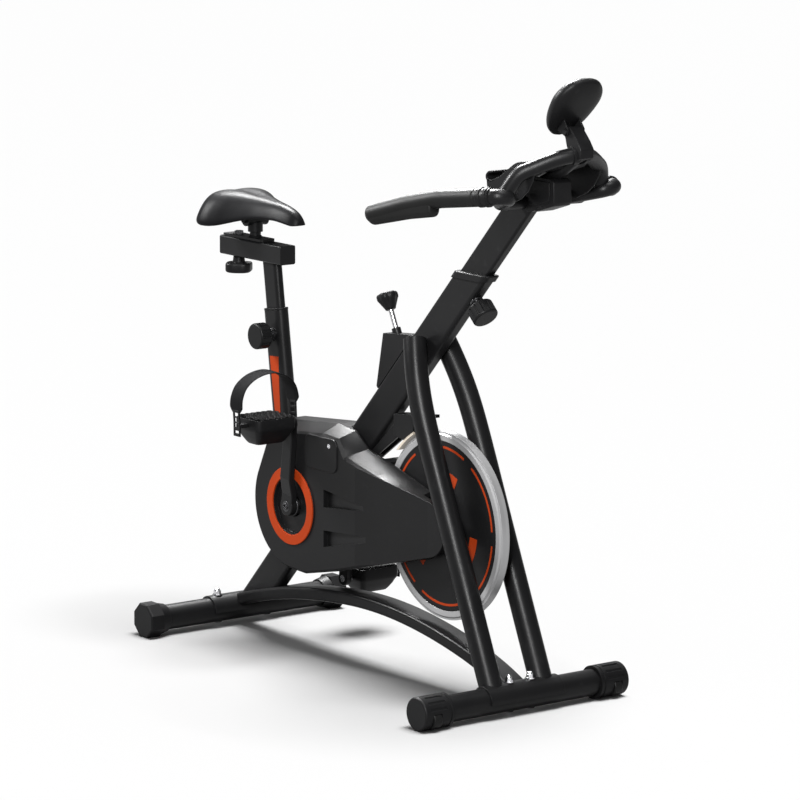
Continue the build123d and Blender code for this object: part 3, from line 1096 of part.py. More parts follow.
# ---------------------------------------------------------------------------
# handlebar
# ---------------------------------------------------------------------------
hpost = beam_bar(-145, 262, HPOST_D, HPOST_W, HPOST_R) - beam_bar(-150, 270, HPOST_D - 4, HPOST_W - 4, HPOST_R - 2)
hp_top = box(-400, 300, -100, 100, 962, 1300)
hpost = hpost - hp_top
HB = [(22, 2.0, 961), (22, -76, 961), (80, -108, 979), (88, -132, 985.5), (-34, -165, 970), (-104, -183, 954), (-182, -205, 930)]
hb_path = bend_path(HB, [34.0, 17.0, 17.0, 220.0, 220.0])
half_bar = tube(hb_path, BAR_R)
half_in = tube(hb_path, BAR_R - 2.0)
cut_l = box(-400, 300, 0.0, 60, 800, 1200)
half_bar = big(half_bar - cut_l)
bar_full = big(half_bar + mirror_y(half_bar))
bar_half = big(half_bar - half_in)
bar = big(bar_half + mirror_y(bar_half))
LP = [(78, -114, 990), (103, -95, 1022), (120, -72, 1035), (140, -42, 1049), (155, -16, 1056), (158, 0, 1057)]
lp_path = Spline(*(LP + [(x, -y, z) for x, y, z in reversed(LP[:-1])]), tangents=((0.55, 0.25, 0.8), (-0.55, 0.25, -0.8)))
loop_full = tube(lp_path, LOOP_R)
loop = big(big(loop_full - tube(lp_path, LOOP_R - 1.8)) - bar_full)
bar_env = bar_full
hpost = hpost - bar_env
hpost = max(hpost.solids(), key=lambda q: q.volume)
put("handlebar_post", hpost)
put("handlebar_main_bar", bar)
put("handlebar_front_loop", loop)
# stem tube from the head to the top of the loop, and the head plates
stem = rod((24, 0, 975), (152, 0, 1050), 12.7)
stem = stem - bar_env - loop_full - rod((10, 0, 967), (170, 0, 1061), 10.9)
stem = max(stem.solids(), key=lambda q: q.volume)
hpl = xz_poly([(-12, 956), (2, 993), (40, 1010), (108, 1008), (110, 962), (48, 944), (10, 940)], -20.0, -16.0)
hpl = safe_fillet(hpl, [e for e in hpl.edges() if abs(e.length - 4.0) < 0.01], 6.0)
hpl = hpl - bar_env - loop_full - cyl_y(-2, 962, 3.5, -60, 60)
hpl = max(hpl.solids(), key=lambda q: q.volume)
put("handlebar_stem_and_plates", [stem] + both(hpl))
# folded tray between the loop's legs, with a lip on the rider's side and two skirts
TRAY = [(3, 1018), (-6, 1016.5), (-12, 1009), (-10, 1001), (0, 998), (17, 1001.5), (32, 1008), (54, 1021.5), (76, 1034.5), (97, 1039.5), (120, 1042),
        (120, 1046.3), (96, 1043.8), (74, 1038.8), (52, 1025.8), (30, 1012.3), (16, 1006), (1, 1002.3), (-6, 1004.5), (-7.5, 1008.5), (-4, 1012.3), (4, 1013.8)]
SKIRT = [(10, 1004), (30, 1010), (52, 1023.5), (75, 1036), (88, 1039), (92, 1016), (84, 992), (62, 980), (30, 978), (8, 984)]
tray = xz_poly(TRAY, -70.0, 70.0) + xz_poly(SKIRT, -69.5, -66.0) + xz_poly(SKIRT, 66.0, 69.5)
tray = tray - bar_full - loop_full - rod((24, 0, 975), (152, 0, 1050), 12.72)
tray = tray - box(-20, 130, -20.05, -15.95, 930, 1010.6) - box(-20, 130, 15.95, 20.05, 930, 1010.6)
put("tablet_tray", max(tray.solids(), key=lambda q: q.volume))
# grips
g0 = Vector(*HB[4])
gdir = (Vector(*HB[4]) - Vector(*HB[3])).normalized()
gstart = g0 - gdir * 6.0
gend_d = (Vector(*HB[6]) - Vector(*HB[5])).normalized()
gend = Vector(*HB[6]) + gend_d * 14.0
g_path = bend_path([(gstart.X, gstart.Y, gstart.Z), HB[4], HB[5], (gend.X, gend.Y, gend.Z)], [40.0, 220.0])
bar_bore = tube(hb_path, BAR_R + 0.02)
g_out = tube(g_path, 18.6)
tip = Plane(origin=gend, z_dir=gend_d)
g_out = safe_fillet(g_out, [e for e in g_out.edges() if (e.center() - gend).length < 3], 10.0)
grip = big(g_out - bar_bore)
gq = Vector(*HB[6]) + gend_d * 4.0
u_path = bend_path([(gstart.X - gdir.X * 0, gstart.Y, gstart.Z), HB[4], HB[5], (gq.X, gq.Y, gq.Z)], [40.0, 220.0])
under = None
for sg in (1, -1):
    t_ = sweep(Plane(origin=u_path @ 0, x_dir=(-0.25, 1, 0), z_dir=u_path % 0) * Pos(0, 11.0 * sg) * RectangleRounded(24, 28, 9), path=u_path)
    if under is None or t_.center().Z < under.center().Z:
        under = t_
under = big(under - tube(g_path, 18.62))
grip = [grip, under]
# two-step collar behind each bend
cdir = (Vector(*HB[4]) - Vector(*HB[3])).normalized()
c0 = Vector(*HB[3]) + cdir * 20.0


def collar_at(a0, a1, r_):
    a_, b_ = c0 + cdir * a0, c0 + cdir * a1
    return rod((a_.X, a_.Y, a_.Z), (b_.X, b_.Y, b_.Z), r_)


col = collar_at(0, 6.5, 18.0) + collar_at(9, 16, 17.2) + collar_at(0, 20, 16.2)
col = col - bar_bore
col = max(col.solids(), key=lambda q: q.volume)
put("handlebar_grips_and_collars", both(grip[0]) + both(grip[1]) + both(col))

# ---------------------------------------------------------------------------
# console and its bracket
# ---------------------------------------------------------------------------
CN = (-math.cos(math.radians(40)), 0, math.sin(math.radians(40)))
CU = (math.sin(math.radians(40)), 0, math.cos(math.radians(40)))
CC = (137.0, 0.0, 1142.0)


def cpt(u, n, y=0.0):
    return (CC[0] + CU[0] * u + CN[0] * n, y, CC[2] + CU[2] * u + CN[2] * n)


cpl = Plane(origin=CC, x_dir=(0, -1, 0), z_dir=CN)
# egg outline: v up the face
EGG = [(0, 67), (30, 60), (48, 36), (50, 6), (42, -28), (27, -54), (0, -67)]


def egg(scale=1.0, off=0.0):
    pts = [(x * scale - (off if x > 0 else 0), y * (1 - off / 67.0) * scale) for x, y in EGG]
    left = [(-x, y) for x, y in reversed(pts[1:-1])]
    return make_face(Spline(*(pts + left), periodic=True))


lv = 1
test_up = cpl.y_dir
vs = 1 if test_up.Z > 0 else -1
eggf = egg()
if vs < 0:
    eggf = mirror(eggf, about=Plane.XZ)
body_c = loft([cpl.offset(-11) * (eggf if True else eggf), cpl.offset(6) * eggf])
back = loft([cpl.offset(-11.0) * eggf, cpl.offset(-18.5) * scale(eggf, 0.72)])
front_c = loft([cpl.offset(6.0) * eggf, cpl.offset(10.0) * scale(eggf, 0.93)])
hous = body_c + back + front_c
scr = Pos(0, 12 * vs) * Rectangle(62, 46)
screen_cut = cpl.offset(8.2) * extrude(Pos(0, 14 * vs) * RectangleRounded(64.06, 48.06, 6), 6)
btn_cut = cpl.offset(5.5) * extrude(Pos(0, -34 * vs) * Circle(9.3), 10)
hous = hous - screen_cut - btn_cut
lens = cpl.offset(8.24) * extrude(Pos(0, 14 * vs) * RectangleRounded(64, 48, 6), 1.5)
put("console_window", lens)
btn = cpl.offset(7.4) * extrude(Pos(0, -34 * vs) * Circle(8.95), 4.2)
btn = safe_fillet(btn, [e for e in btn.edges() if e.center().Z > 0 and (e.center() - Vector(*cpt(-34, 11.6))).length < 0.6], 1.0)
put("console_button", btn)
# bracket: clamp round the loop's crown, arm to the pivot behind the console
KP = (CC[0] + CU[0] * -30 + CN[0] * -33, CC[2] + CU[2] * -30 + CN[2] * -33)                    # tilt pivot
clampc = ring_y(158.0, 1057.0, 18.5, LOOP_R + 0.02, -11.0, 11.0)
arm_c = xz_poly([(KP[0] - 10, KP[1] - 2), (KP[0] + 8, KP[1] + 6), (174, 1064), (150, 1056), (143, 1068)], -7.0, 7.0)
arm_c = arm_c + cyl_y(KP[0], KP[1], 10.0, -7.0, 7.0)
brk = clampc + arm_c - cyl_y(158.0, 1057.0, LOOP_R + 0.02, -60, 60) - cyl_y(KP[0], KP[1], 4.02, -20, 20)
brk = brk - tube(lp_path, LOOP_R + 0.02) - rod((24, 0, 975), (152, 0, 1050), 12.72)
brk = max(brk.solids(), key=lambda q: q.volume)
lug_pts = [cpt(-44, -9), cpt(-14, -9), cpt(-18, -22), cpt(-24, -33), cpt(-36, -33), cpt(-42, -22)]
lug_y = xz_poly([(q[0], q[2]) for q in lug_pts], 7.35, 11.5) + cyl_y(KP[0], KP[1], 9.5, 7.35, 11.5)
lug_y = lug_y - cyl_y(KP[0], KP[1], 4.06, 0, 40)
hous = hous + lug_y + mirror_y(lug_y)
cav_c = loft([cpl.offset(-14.0) * scale(eggf, 0.80), cpl.offset(3.0) * scale(eggf, 0.93)])
hous = hous - (cav_c - box(-1000, 1000, -13, 13, 0, 2000))
put("console_housing", max(hous.solids(), key=lambda q: q.volume))
kn_c = cyl_y(KP[0], KP[1], 8.0, -17.0, -11.9) - cyl_y(KP[0], KP[1], 4.02, -30, -5)
kn_n = nut_y(KP[0], KP[1], 7.5, 4.02, 11.9, 15.9)
put("console_bracket", [brk, cyl_y(KP[0], KP[1], 4.0, -16.0, 16.0), kn_c, kn_n])
bb_all = Compound(children=list(NODES.values())).bounding_box()
print("ALL x %.1f %.1f y %.1f %.1f z %.1f %.1f" % (bb_all.min.X, bb_all.max.X, bb_all.min.Y, bb_all.max.Y, bb_all.min.Z, bb_all.max.Z))
print(len(NODES), "nodes")
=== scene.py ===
import bpy, math, json
import numpy as np
from mathutils import Vector, Matrix


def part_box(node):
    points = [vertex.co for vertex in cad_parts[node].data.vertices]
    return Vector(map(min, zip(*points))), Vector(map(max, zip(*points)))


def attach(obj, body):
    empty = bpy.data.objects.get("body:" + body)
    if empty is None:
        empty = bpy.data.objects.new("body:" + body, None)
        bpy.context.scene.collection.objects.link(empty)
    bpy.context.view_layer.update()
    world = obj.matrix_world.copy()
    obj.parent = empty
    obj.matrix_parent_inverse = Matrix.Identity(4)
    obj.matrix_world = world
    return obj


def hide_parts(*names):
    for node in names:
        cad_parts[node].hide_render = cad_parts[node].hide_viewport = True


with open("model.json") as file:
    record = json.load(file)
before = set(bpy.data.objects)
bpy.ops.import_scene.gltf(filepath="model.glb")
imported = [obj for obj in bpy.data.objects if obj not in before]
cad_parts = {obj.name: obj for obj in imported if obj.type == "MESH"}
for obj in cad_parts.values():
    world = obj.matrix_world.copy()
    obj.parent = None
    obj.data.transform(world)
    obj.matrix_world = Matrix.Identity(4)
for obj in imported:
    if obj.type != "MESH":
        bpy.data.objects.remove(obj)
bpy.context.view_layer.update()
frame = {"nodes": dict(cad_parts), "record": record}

XO = 0.38655                       # front stabiliser axis to the origin, metres


def P(x, y, z):
    """millimetres from the front stabiliser axis to metres in the row frame"""
    return np.array([x / 1000.0 + XO, y / 1000.0, z / 1000.0])


# ---------------------------------------------------------------------------
# materials: every one procedural, with grain and varied roughness, and some with wear
# ---------------------------------------------------------------------------
MATS = {}


def mat(name, col, rough, metal=0.0, grain=900.0, bump=0.12, bump_d=0.00015, vary=0.12, col2=None, colvar=0.35,
        coat=0.0, weave=None, wear=0.0, bevel=0.0009, sheen=0.0, brushed=False, spec=0.35):
    m = bpy.data.materials.new(name)
    m.use_nodes = True
    nt = m.node_tree
    N, L = nt.nodes, nt.links
    b = N["Principled BSDF"]
    b.inputs["Metallic"].default_value = metal
    b.inputs["Specular IOR Level"].default_value = spec
    b.inputs["Coat Weight"].default_value = coat
    b.inputs["Coat Roughness"].default_value = 0.12
    if sheen:
        b.inputs["Sheen Weight"].default_value = sheen
        b.inputs["Sheen Roughness"].default_value = 0.5
    tc = N.new("ShaderNodeTexCoord")
    mp = N.new("ShaderNodeMapping")
    L.new(tc.outputs["Object"], mp.inputs["Vector"])
    if brushed:
        mp.inputs["Scale"].default_value = (1.0, 14.0, 1.0)
    big = N.new("ShaderNodeTexNoise")
    big.inputs["Scale"].default_value = 7.0
    big.inputs["Detail"].default_value = 5.0
    L.new(mp.outputs[0], big.inputs["Vector"])
    fine = N.new("ShaderNodeTexNoise")
    fine.inputs["Scale"].default_value = grain
    fine.inputs["Detail"].default_value = 3.0
    fine.inputs["Roughness"].default_value = 0.6
    L.new(mp.outputs[0], fine.inputs["Vector"])
    # colour
    c2 = col2 or tuple(min(1.0, c * (1.0 + colvar)) for c in col)
    ramp = N.new("ShaderNodeMix")
    ramp.data_type = 'RGBA'
    ramp.inputs[6].default_value = (*col, 1)
    ramp.inputs[7].default_value = (*c2, 1)
    mr0 = N.new("ShaderNodeMapRange")
    mr0.inputs[1].default_value = 0.35
    mr0.inputs[2].default_value = 0.7
    L.new(big.outputs[0], mr0.inputs[0])
    L.new(mr0.outputs[0], ramp.inputs[0])
    col_out = ramp.outputs[2]
    # roughness
    mr = N.new("ShaderNodeMapRange")
    mr.inputs[1].default_value = 0.3
    mr.inputs[2].default_value = 0.7
    mr.inputs[3].default_value = max(0.02, rough - vary)
    mr.inputs[4].default_value = min(1.0, rough + vary)
    mixn = N.new("ShaderNodeMath")
    mixn.operation = 'ADD'
    hb = N.new("ShaderNodeMath")
    hb.operation = 'MULTIPLY'
    hb.inputs[1].default_value = 0.5
    hf = N.new("ShaderNodeMath")
    hf.operation = 'MULTIPLY'
    hf.inputs[1].default_value = 0.5
    L.new(big.outputs[0], hb.inputs[0])
    L.new(fine.outputs[0], hf.inputs[0])
    L.new(hb.outputs[0], mixn.inputs[0])
    L.new(hf.outputs[0], mixn.inputs[1])
    L.new(mixn.outputs[0], mr.inputs[0])
    L.new(mr.outputs[0], b.inputs["Roughness"])
    height = fine.outputs[0]
    if weave:
        w1 = N.new("ShaderNodeTexWave")
        w1.inputs["Scale"].default_value = weave
        w1.inputs["Distortion"].default_value = 0.6
        w2 = N.new("ShaderNodeTexWave")
        w2.bands_direction = 'Z'
        w2.inputs["Scale"].default_value = weave
        w2.inputs["Distortion"].default_value = 0.6
        L.new(mp.outputs[0], w1.inputs["Vector"])
        L.new(mp.outputs[0], w2.inputs["Vector"])
        mw = N.new("ShaderNodeMath")
        mw.operation = 'MAXIMUM'
        L.new(w1.outputs[1], mw.inputs[0])
        L.new(w2.outputs[1], mw.inputs[1])
        height = mw.outputs[0]
    bp = N.new("ShaderNodeBump")
    bp.inputs["Strength"].default_value = bump
    bp.inputs["Distance"].default_value = bump_d
    L.new(height, bp.inputs["Height"])
    if bevel:
        bv = N.new("ShaderNodeBevel")
        bv.samples = 4
        bv.inputs["Radius"].default_value = bevel
        L.new(bv.outputs[0], bp.inputs["Normal"])
    L.new(bp.outputs[0], b.inputs["Normal"])
    if wear:
        # worn speckle: fine scratches lighten the colour a little
        vo = N.new("ShaderNodeTexNoise")
        vo.inputs["Scale"].default_value = 60.0
        vo.inputs["Detail"].default_value = 8.0
        L.new(mp.outputs[0], vo.inputs["Vector"])
        mrw = N.new("ShaderNodeMapRange")
        mrw.inputs[1].default_value = 0.62
        mrw.inputs[2].default_value = 0.8
        mrw.inputs[4].default_value = wear
        L.new(vo.outputs[0], mrw.inputs[0])
        mx = N.new("ShaderNodeMix")
        mx.data_type = 'RGBA'
        L.new(mrw.outputs[0], mx.inputs[0])
        L.new(col_out, mx.inputs[6])
        mx.inputs[7].default_value = tuple(min(1.0, c * 2.2 + 0.02) for c in col) + (1,)
        col_out = mx.outputs[2]
    L.new(col_out, b.inputs["Base Color"])
    MATS[name] = m
    return m


mat("frame_black", (0.0035, 0.0035, 0.0037), 0.36, grain=1400, bump=0.10, colvar=0.25, wear=0.15, spec=0.11)
mat("plastic_black", (0.0035, 0.0035, 0.0037), 0.42, grain=1800, bump=0.22, colvar=0.3, wear=0.12, spec=0.09)
mat("cover_black", (0.0040, 0.0040, 0.0042), 0.36, grain=2200, bump=0.16, colvar=0.22, wear=0.10, bevel=0.0016, spec=0.09)
mat("red", (0.17, 0.017, 0.0015), 0.62, grain=1600, bump=0.08, colvar=0.12, wear=0.03, spec=0.08)
mat("rim_grey", (0.22, 0.22, 0.223), 0.38, metal=0.5, grain=500, bump=0.08, vary=0.1, colvar=0.12, brushed=True)
mat("chrome", (0.62, 0.62, 0.64), 0.14, metal=1.0, grain=700, bump=0.03, vary=0.05, colvar=0.1)
mat("steel", (0.42, 0.42, 0.43), 0.28, metal=1.0, grain=600, bump=0.05, vary=0.08, colvar=0.15, brushed=True)
mat("rubber", (0.0035, 0.0035, 0.0035), 0.48, grain=1300, bump=0.35, vary=0.1, colvar=0.3, bevel=0.0, spec=0.11)
mat("vinyl", (0.0035, 0.0035, 0.0038), 0.40, grain=520, bump=0.30, bump_d=0.0002, vary=0.08, colvar=0.3, bevel=0.0, spec=0.035)
mat("felt", (0.22, 0.19, 0.15), 0.95, grain=700, bump=0.6, vary=0.04, colvar=0.3, sheen=0.4)
mat("webbing", (0.003, 0.003, 0.0032), 0.7, spec=0.03, weave=220.0, bump=0.35, vary=0.1, colvar=0.3)
mat("dark_steel", (0.045, 0.045, 0.047), 0.30, metal=0.9, grain=600, bump=0.05, vary=0.08, colvar=0.2)
mat("lens", (0.012, 0.014, 0.016), 0.12, grain=300, bump=0.01, vary=0.04, coat=0.6, colvar=0.2)

slots = {s["node"]: s["material_slot"] for s in frame["record"]["subparts"]}


def smooth(ob, angle=32.0):
    me = ob.data
    for p in me.polygons:
        p.use_smooth = True
    try:
        me.set_sharp_from_angle(angle=math.radians(angle))
    except Exception:
        pass


for n, ob in frame["nodes"].items():
    m = MATS.get(slots.get(n, ""), MATS["plastic_black"])
    if n in ("crank_bolts_and_collars", "pull_pin_housings", "carriage_clamp_bolt"):
        m = MATS["dark_steel"]
    ob.data.materials.clear()
    ob.data.materials.append(m)
    smooth(ob)


# ---------------------------------------------------------------------------
# mesh helpers
# ---------------------------------------------------------------------------
def add_mesh(name, verts, faces, material, sub=0, angle=40.0):
    me = bpy.data.meshes.new(name)
    me.from_pydata([tuple(v) for v in verts], [], [tuple(f) for f in faces])
    me.validate()
    me.update()
    ob = bpy.data.objects.new(name, me)
    bpy.context.scene.collection.objects.link(ob)
    me.materials.append(MATS[material])
    smooth(ob, angle)
    if sub:
        md = ob.modifiers.new("sub", 'SUBSURF')
        md.levels = sub
        md.render_levels = sub
    return ob


def bend_path(pts, radii, step=3.0):
    v = [np.array(p, float) for p in pts]
    out = [v[0]]
    prev = v[0]

    def line(a, b):
        n = max(1, int(np.linalg.norm(b - a) / step))
        for i in range(1, n + 1):
            out.append(a + (b - a) * i / n)
    for i in range(1, len(v) - 1):
        d1 = (v[i] - v[i - 1]) / np.linalg.norm(v[i] - v[i - 1])
        d2 = (v[i + 1] - v[i]) / np.linalg.norm(v[i + 1] - v[i])
        th = math.acos(max(-1, min(1, float(d1 @ d2))))
        R = radii[i - 1]
        t = R * math.tan(th / 2)
        a, b = v[i] - d1 * t, v[i] + d2 * t
        line(prev, a)
        c = v[i] + (d2 - d1) / np.linalg.norm(d2 - d1) * (R / math.cos(th / 2))
        e1 = (a - c) / R
        ax = np.cross(d1, d2)
        ax = ax / np.linalg.norm(ax)
        e2 = np.cross(ax, e1)
        n = max(3, int(R * th / step), int(math.degrees(th) / 5))
        for k in range(1, n + 1):
            q = th * k / n
            out.append(c + R * (e1 * math.cos(q) + e2 * math.sin(q)))
        prev = b
    line(prev, v[-1])
    res = [out[0]]
    for q in out[1:]:
        if np.linalg.norm(q - res[-1]) > 0.2:
            res.append(q)
    return np.array(res)


def spline(pts, n=80):
    """Catmull-Rom through points (centripetal enough for these)"""
    p = np.array(pts, float)
    p = np.vstack([2 * p[0] - p[1], p, 2 * p[-1] - p[-2]])
    seg = len(p) - 3
    out = []
    for i in range(seg):
        p0, p1, p2, p3 = p[i:i + 4]
        m = max(2, int(n / seg))
        for k in range(m):
            t = k / m
            out.append(0.5 * ((2 * p1) + (-p0 + p2) * t + (2 * p0 - 5 * p1 + 4 * p2 - p3) * t ** 2 + (-p0 + 3 * p1 - 3 * p2 + p3) * t ** 3))
    out.append(p[-2])
    return np.array(out)


def frames(path, up=(0, 0, 1)):
    t = np.gradient(path, axis=0)
    t /= np.linalg.norm(t, axis=1)[:, None]
    u = np.array(up, float)
    res = []
    for d in t:
        s = np.cross(d, u)
        if np.linalg.norm(s) < 1e-5:
            s = np.cross(d, np.array([1.0, 0, 0]))
        s /= np.linalg.norm(s)
        w = np.cross(s, d)
        res.append((s, w, d))
    return res


def sweep(name, path, prof, material, up=(0, 0, 1), scale=None, caps="flat", sub=0, angle=40.0, closed=False):
    """prof: (n, 2) outline in the (side, up) plane, mm; path in mm"""
    fr = frames(path, up)
    verts, faces = [], []
    n = len(prof[0]) if isinstance(prof, list) else len(prof)
    m = len(path)
    for i, (q, (s, w, d)) in enumerate(zip(path, fr)):
        k = scale[i] if scale is not None else 1.0
        pr = prof[i] if isinstance(prof, list) else prof
        for a, b in pr:
            verts.append(q + s * a * k + w * b * k)
    for i in range(m - 1):
        for j in range(n):
            j2 = (j + 1) % n
            faces.append((i * n + j, i * n + j2, (i + 1) * n + j2, (i + 1) * n + j))
    if closed:
        for j in range(n):
            j2 = (j + 1) % n
            faces.append(((m - 1) * n + j, (m - 1) * n + j2, j2, j))
    else:
        faces.append(tuple(reversed(range(n))))
        faces.append(tuple((m - 1) * n + j for j in range(n)))
    v = [P(*q) for q in verts]
    # outward faces
    ob = add_mesh(name, v, faces, material, sub=sub, angle=angle)
    bm_fix(ob)
    return ob


def bm_fix(ob):
    import bmesh
    bm = bmesh.new()
    bm.from_mesh(ob.data)
    bmesh.ops.recalc_face_normals(bm, faces=bm.faces)
    bm.to_mesh(ob.data)
    bm.free()
    smooth(ob, 40.0)


def circle(r, n=40, cx=0.0, cy=0.0):
    return np.array([(cx + r * math.cos(2 * math.pi * i / n), cy + r * math.sin(2 * math.pi * i / n)) for i in range(n)])


def rrect(w, h, r, n=6):
    out = []
    for cx, cy, a0 in ((w / 2 - r, h / 2 - r, 0), (-w / 2 + r, h / 2 - r, 90), (-w / 2 + r, -h / 2 + r, 180), (w / 2 - r, -h / 2 + r, 270)):
        for k in range(n + 1):
            a = math.radians(a0 + 90 * k / n)
            out.append((cx + r * math.cos(a), cy + r * math.sin(a)))
    return np.array(out)


def interp(x, xs, ys):
    """smooth monotone-ish interpolation through stations"""
    xs, ys = np.array(xs, float), np.array(ys, float)
    if xs[0] > xs[-1]:
        xs, ys = xs[::-1], ys[::-1]
    h = np.diff(xs)
    dl = np.diff(ys) / h
    m = np.zeros(len(xs))
    m[0], m[-1] = dl[0], dl[-1]
    for i in range(1, len(xs) - 1):
        if dl[i - 1] * dl[i] <= 0:
            m[i] = 0
        else:
            w1, w2 = 2 * h[i] + h[i - 1], h[i] + 2 * h[i - 1]
            m[i] = (w1 + w2) / (w1 / dl[i - 1] + w2 / dl[i])
    x = np.clip(x, xs[0], xs[-1])
    i = np.clip(np.searchsorted(xs, x) - 1, 0, len(xs) - 2)
    t = (x - xs[i]) / h[i]
    return ((2 * t ** 3 - 3 * t ** 2 + 1) * ys[i] + (t ** 3 - 2 * t ** 2 + t) * h[i] * m[i]
            + (-2 * t ** 3 + 3 * t ** 2) * ys[i + 1] + (t ** 3 - t ** 2) * h[i] * m[i + 1])


# ---------------------------------------------------------------------------
# saddle: one crowned, padded skin, flat on top and flared to a drooping lower edge
# ---------------------------------------------------------------------------
SADX = [-962.0, -959.5, -954, -946, -935, -920, -905, -885, -865, -840, -815, -790, -762, -738, -720, -711, -705, -701.0]
SADH = [26, 46, 66, 81, 91, 96, 94, 85.5, 73, 58, 45, 36, 28.5, 24.5, 21.0, 17.5, 12.5, 6]
SADT = [863, 869, 875, 880, 883.5, 886, 886.5, 886, 884.5, 881.5, 878.5, 875, 871.5, 866.5, 860.5, 855, 848.5, 842.5]
SADB = [846, 840, 833, 826.5, 821.5, 819, 819, 821, 826, 833, 838, 840.5, 840.5, 838, 835, 833.5, 834.0, 836.0]
SADP = [2.4, 2.6, 3.0, 3.6, 4.0, 4.2, 4.2, 4.0, 3.6, 3.2, 3.0, 2.8, 2.6, 2.5, 2.4, 2.3, 2.2, 2.2]


def saddle_ring(x, n=34):
    h, zt, zb, p = (float(interp(x, SADX, q)) for q in (SADH, SADT, SADB, SADP))
    H = zt - zb
    dip = 3.0 * math.exp(-((x + 885) / 60.0) ** 2)
    out = []
    for k in range(n + 1):
        q = (k / n) ** 0.8
        q = min(1.0, q)
        y = h * q
        z = zb + 0.10 * H + 0.90 * H * (1 - q ** p) ** (1.0 if q < 0.98 else 1.0)
        z -= dip * math.exp(-(y / 13.0) ** 2)
        out.append((y, z))
    # rolled lower edge and hollow underside
    zu = max(zb + 0.6, min(849.5, zt - 0.30 * H - 6)) if x > -955 else zb + 0.6
    low = [(0.994 * h, zb + 0.04 * H), (0.975 * h, zb + 0.008 * H), (0.94 * h, zb), (0.90 * h, zb + 0.02 * H), (0.84 * h, zb + 0.3 * (zu - zb)), (0.70 * h, zb + 0.75 * (zu - zb)),
           (0.50 * h, zu), (0.25 * h, zu), (0, zu)]
    out += low
    sp = np.array(out)
    left = [(-a_, b_) for a_, b_ in sp[::-1][1:-1]]
    return np.vstack([sp, left])


def build_saddle():
    xs = []
    for a_, b_, n_ in ((-962, -940, 12), (-940, -720, 60), (-720, -701.0, 16)):
        xs += list(np.linspace(a_, b_, n_, endpoint=False))
    xs.append(-701.0)
    verts, faces = [], []
    rings = [saddle_ring(x) for x in xs]
    n = len(rings[0])
    for x, r in zip(xs, rings):
        for a_, b_ in r:
            verts.append(P(x, a_, b_))
    m = len(xs)
    for i in range(m - 1):
        for j in range(n):
            j2 = (j + 1) % n
            faces.append((i * n + j, i * n + j2, (i + 1) * n + j2, (i + 1) * n + j))
    for i in (0, m - 1):
        c = len(verts)
        verts.append(np.mean([verts[i * n + j] for j in range(n)], axis=0))
        for j in range(n):
            j2 = (j + 1) % n
            faces.append((i * n + j2, i * n + j, c) if i == 0 else (i * n + j, i * n + j2, c))
    ob = add_mesh("saddle_cover", verts, faces, "vinyl", angle=180)
    # relax so the section changes read as stretched padding
    import bmesh
    bm = bmesh.new()
    bm.from_mesh(ob.data)
    for _ in range(3):
        bmesh.ops.smooth_vert(bm, verts=bm.verts, factor=0.5, use_axis_x=True, use_axis_y=True, use_axis_z=True)
    bmesh.ops.recalc_face_normals(bm, faces=bm.faces)
    bm.to_mesh(ob.data)
    bm.free()
    for p in ob.data.polygons:
        p.use_smooth = True
    md = ob.modifiers.new("sub", 'SUBSURF')
    md.levels = md.render_levels = 1
    return ob


sad = build_saddle()
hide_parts("saddle_pad", "saddle_base_shell")
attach(sad, "saddle")
edge = [(x, -float(interp(x, SADX, SADH)) * 0.945 + 1.0, float(interp(x, SADX, SADB)) + 1.0) for x in np.linspace(-956, -707, 120)]
edge = edge + [(q[0], -q[1], q[2]) for q in edge[::-1]]
lp = np.array(edge)
for _ in range(4):
    lp = (np.roll(lp, 1, 0) + 2 * lp + np.roll(lp, -1, 0)) / 4
sm = sweep("saddle_edge_bead", lp, circle(1.3, 8), "plastic_black", closed=True)
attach(sm, "saddle")

# hand wheel under the rail: soft four-lobed knob on a round neck
hlo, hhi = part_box("carriage_handwheel")
hx, hy = (hlo.x + hhi.x) / 2, (hlo.y + hhi.y) / 2
hr = (hhi.y - hlo.y) / 2
V, Fc = [], []
hn = 72
hz0, hz1 = hlo.z, hhi.z
hh = hz1 - hz0
for zf, rf, lob in ((0.0, 0.80, 0.5), (0.03, 0.90, 0.8), (0.10, 0.985, 1.0), (0.16, 1.0, 1.0), (0.46, 1.0, 1.0), (0.52, 0.985, 1.0), (0.57, 0.92, 0.8), (0.60, 0.62, 0.3), (0.62, 0.42, 0.0), (1.0, 0.36, 0.0)):
    for i in range(hn):
        t = 2 * math.pi * i / hn
        rr = hr * rf * (1 - 0.075 * lob * (1 - math.cos(4 * t)))
        V.append(np.array([hx + rr * math.cos(t), hy + rr * math.sin(t), hz0 + hh * zf]))
for k in range(9):
    for i in range(hn):
        Fc.append((k * hn + i, k * hn + (i + 1) % hn, (k + 1) * hn + (i + 1) % hn, (k + 1) * hn + i))
Fc.append(tuple(reversed(range(hn))))
Fc.append(tuple(9 * hn + i for i in range(hn)))
hw_ob = add_mesh("carriage_hand_knob", V, Fc, "plastic_black", angle=50)
bm_fix(hw_ob)
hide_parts("carriage_handwheel")
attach(hw_ob, "handwheel")

# ---------------------------------------------------------------------------
# handlebar: bar, loop, grips, collars, tray and head cover
# ---------------------------------------------------------------------------
HB = [(22, 0.0, 961), (22, -76, 961), (96, -109, 980), (104, -134, 986), (-34, -165, 970), (-104, -183, 954), (-182, -205, 930)]


def flip(path):
    q = np.array(path, float).copy()
    q[:, 1] *= -1
    return q


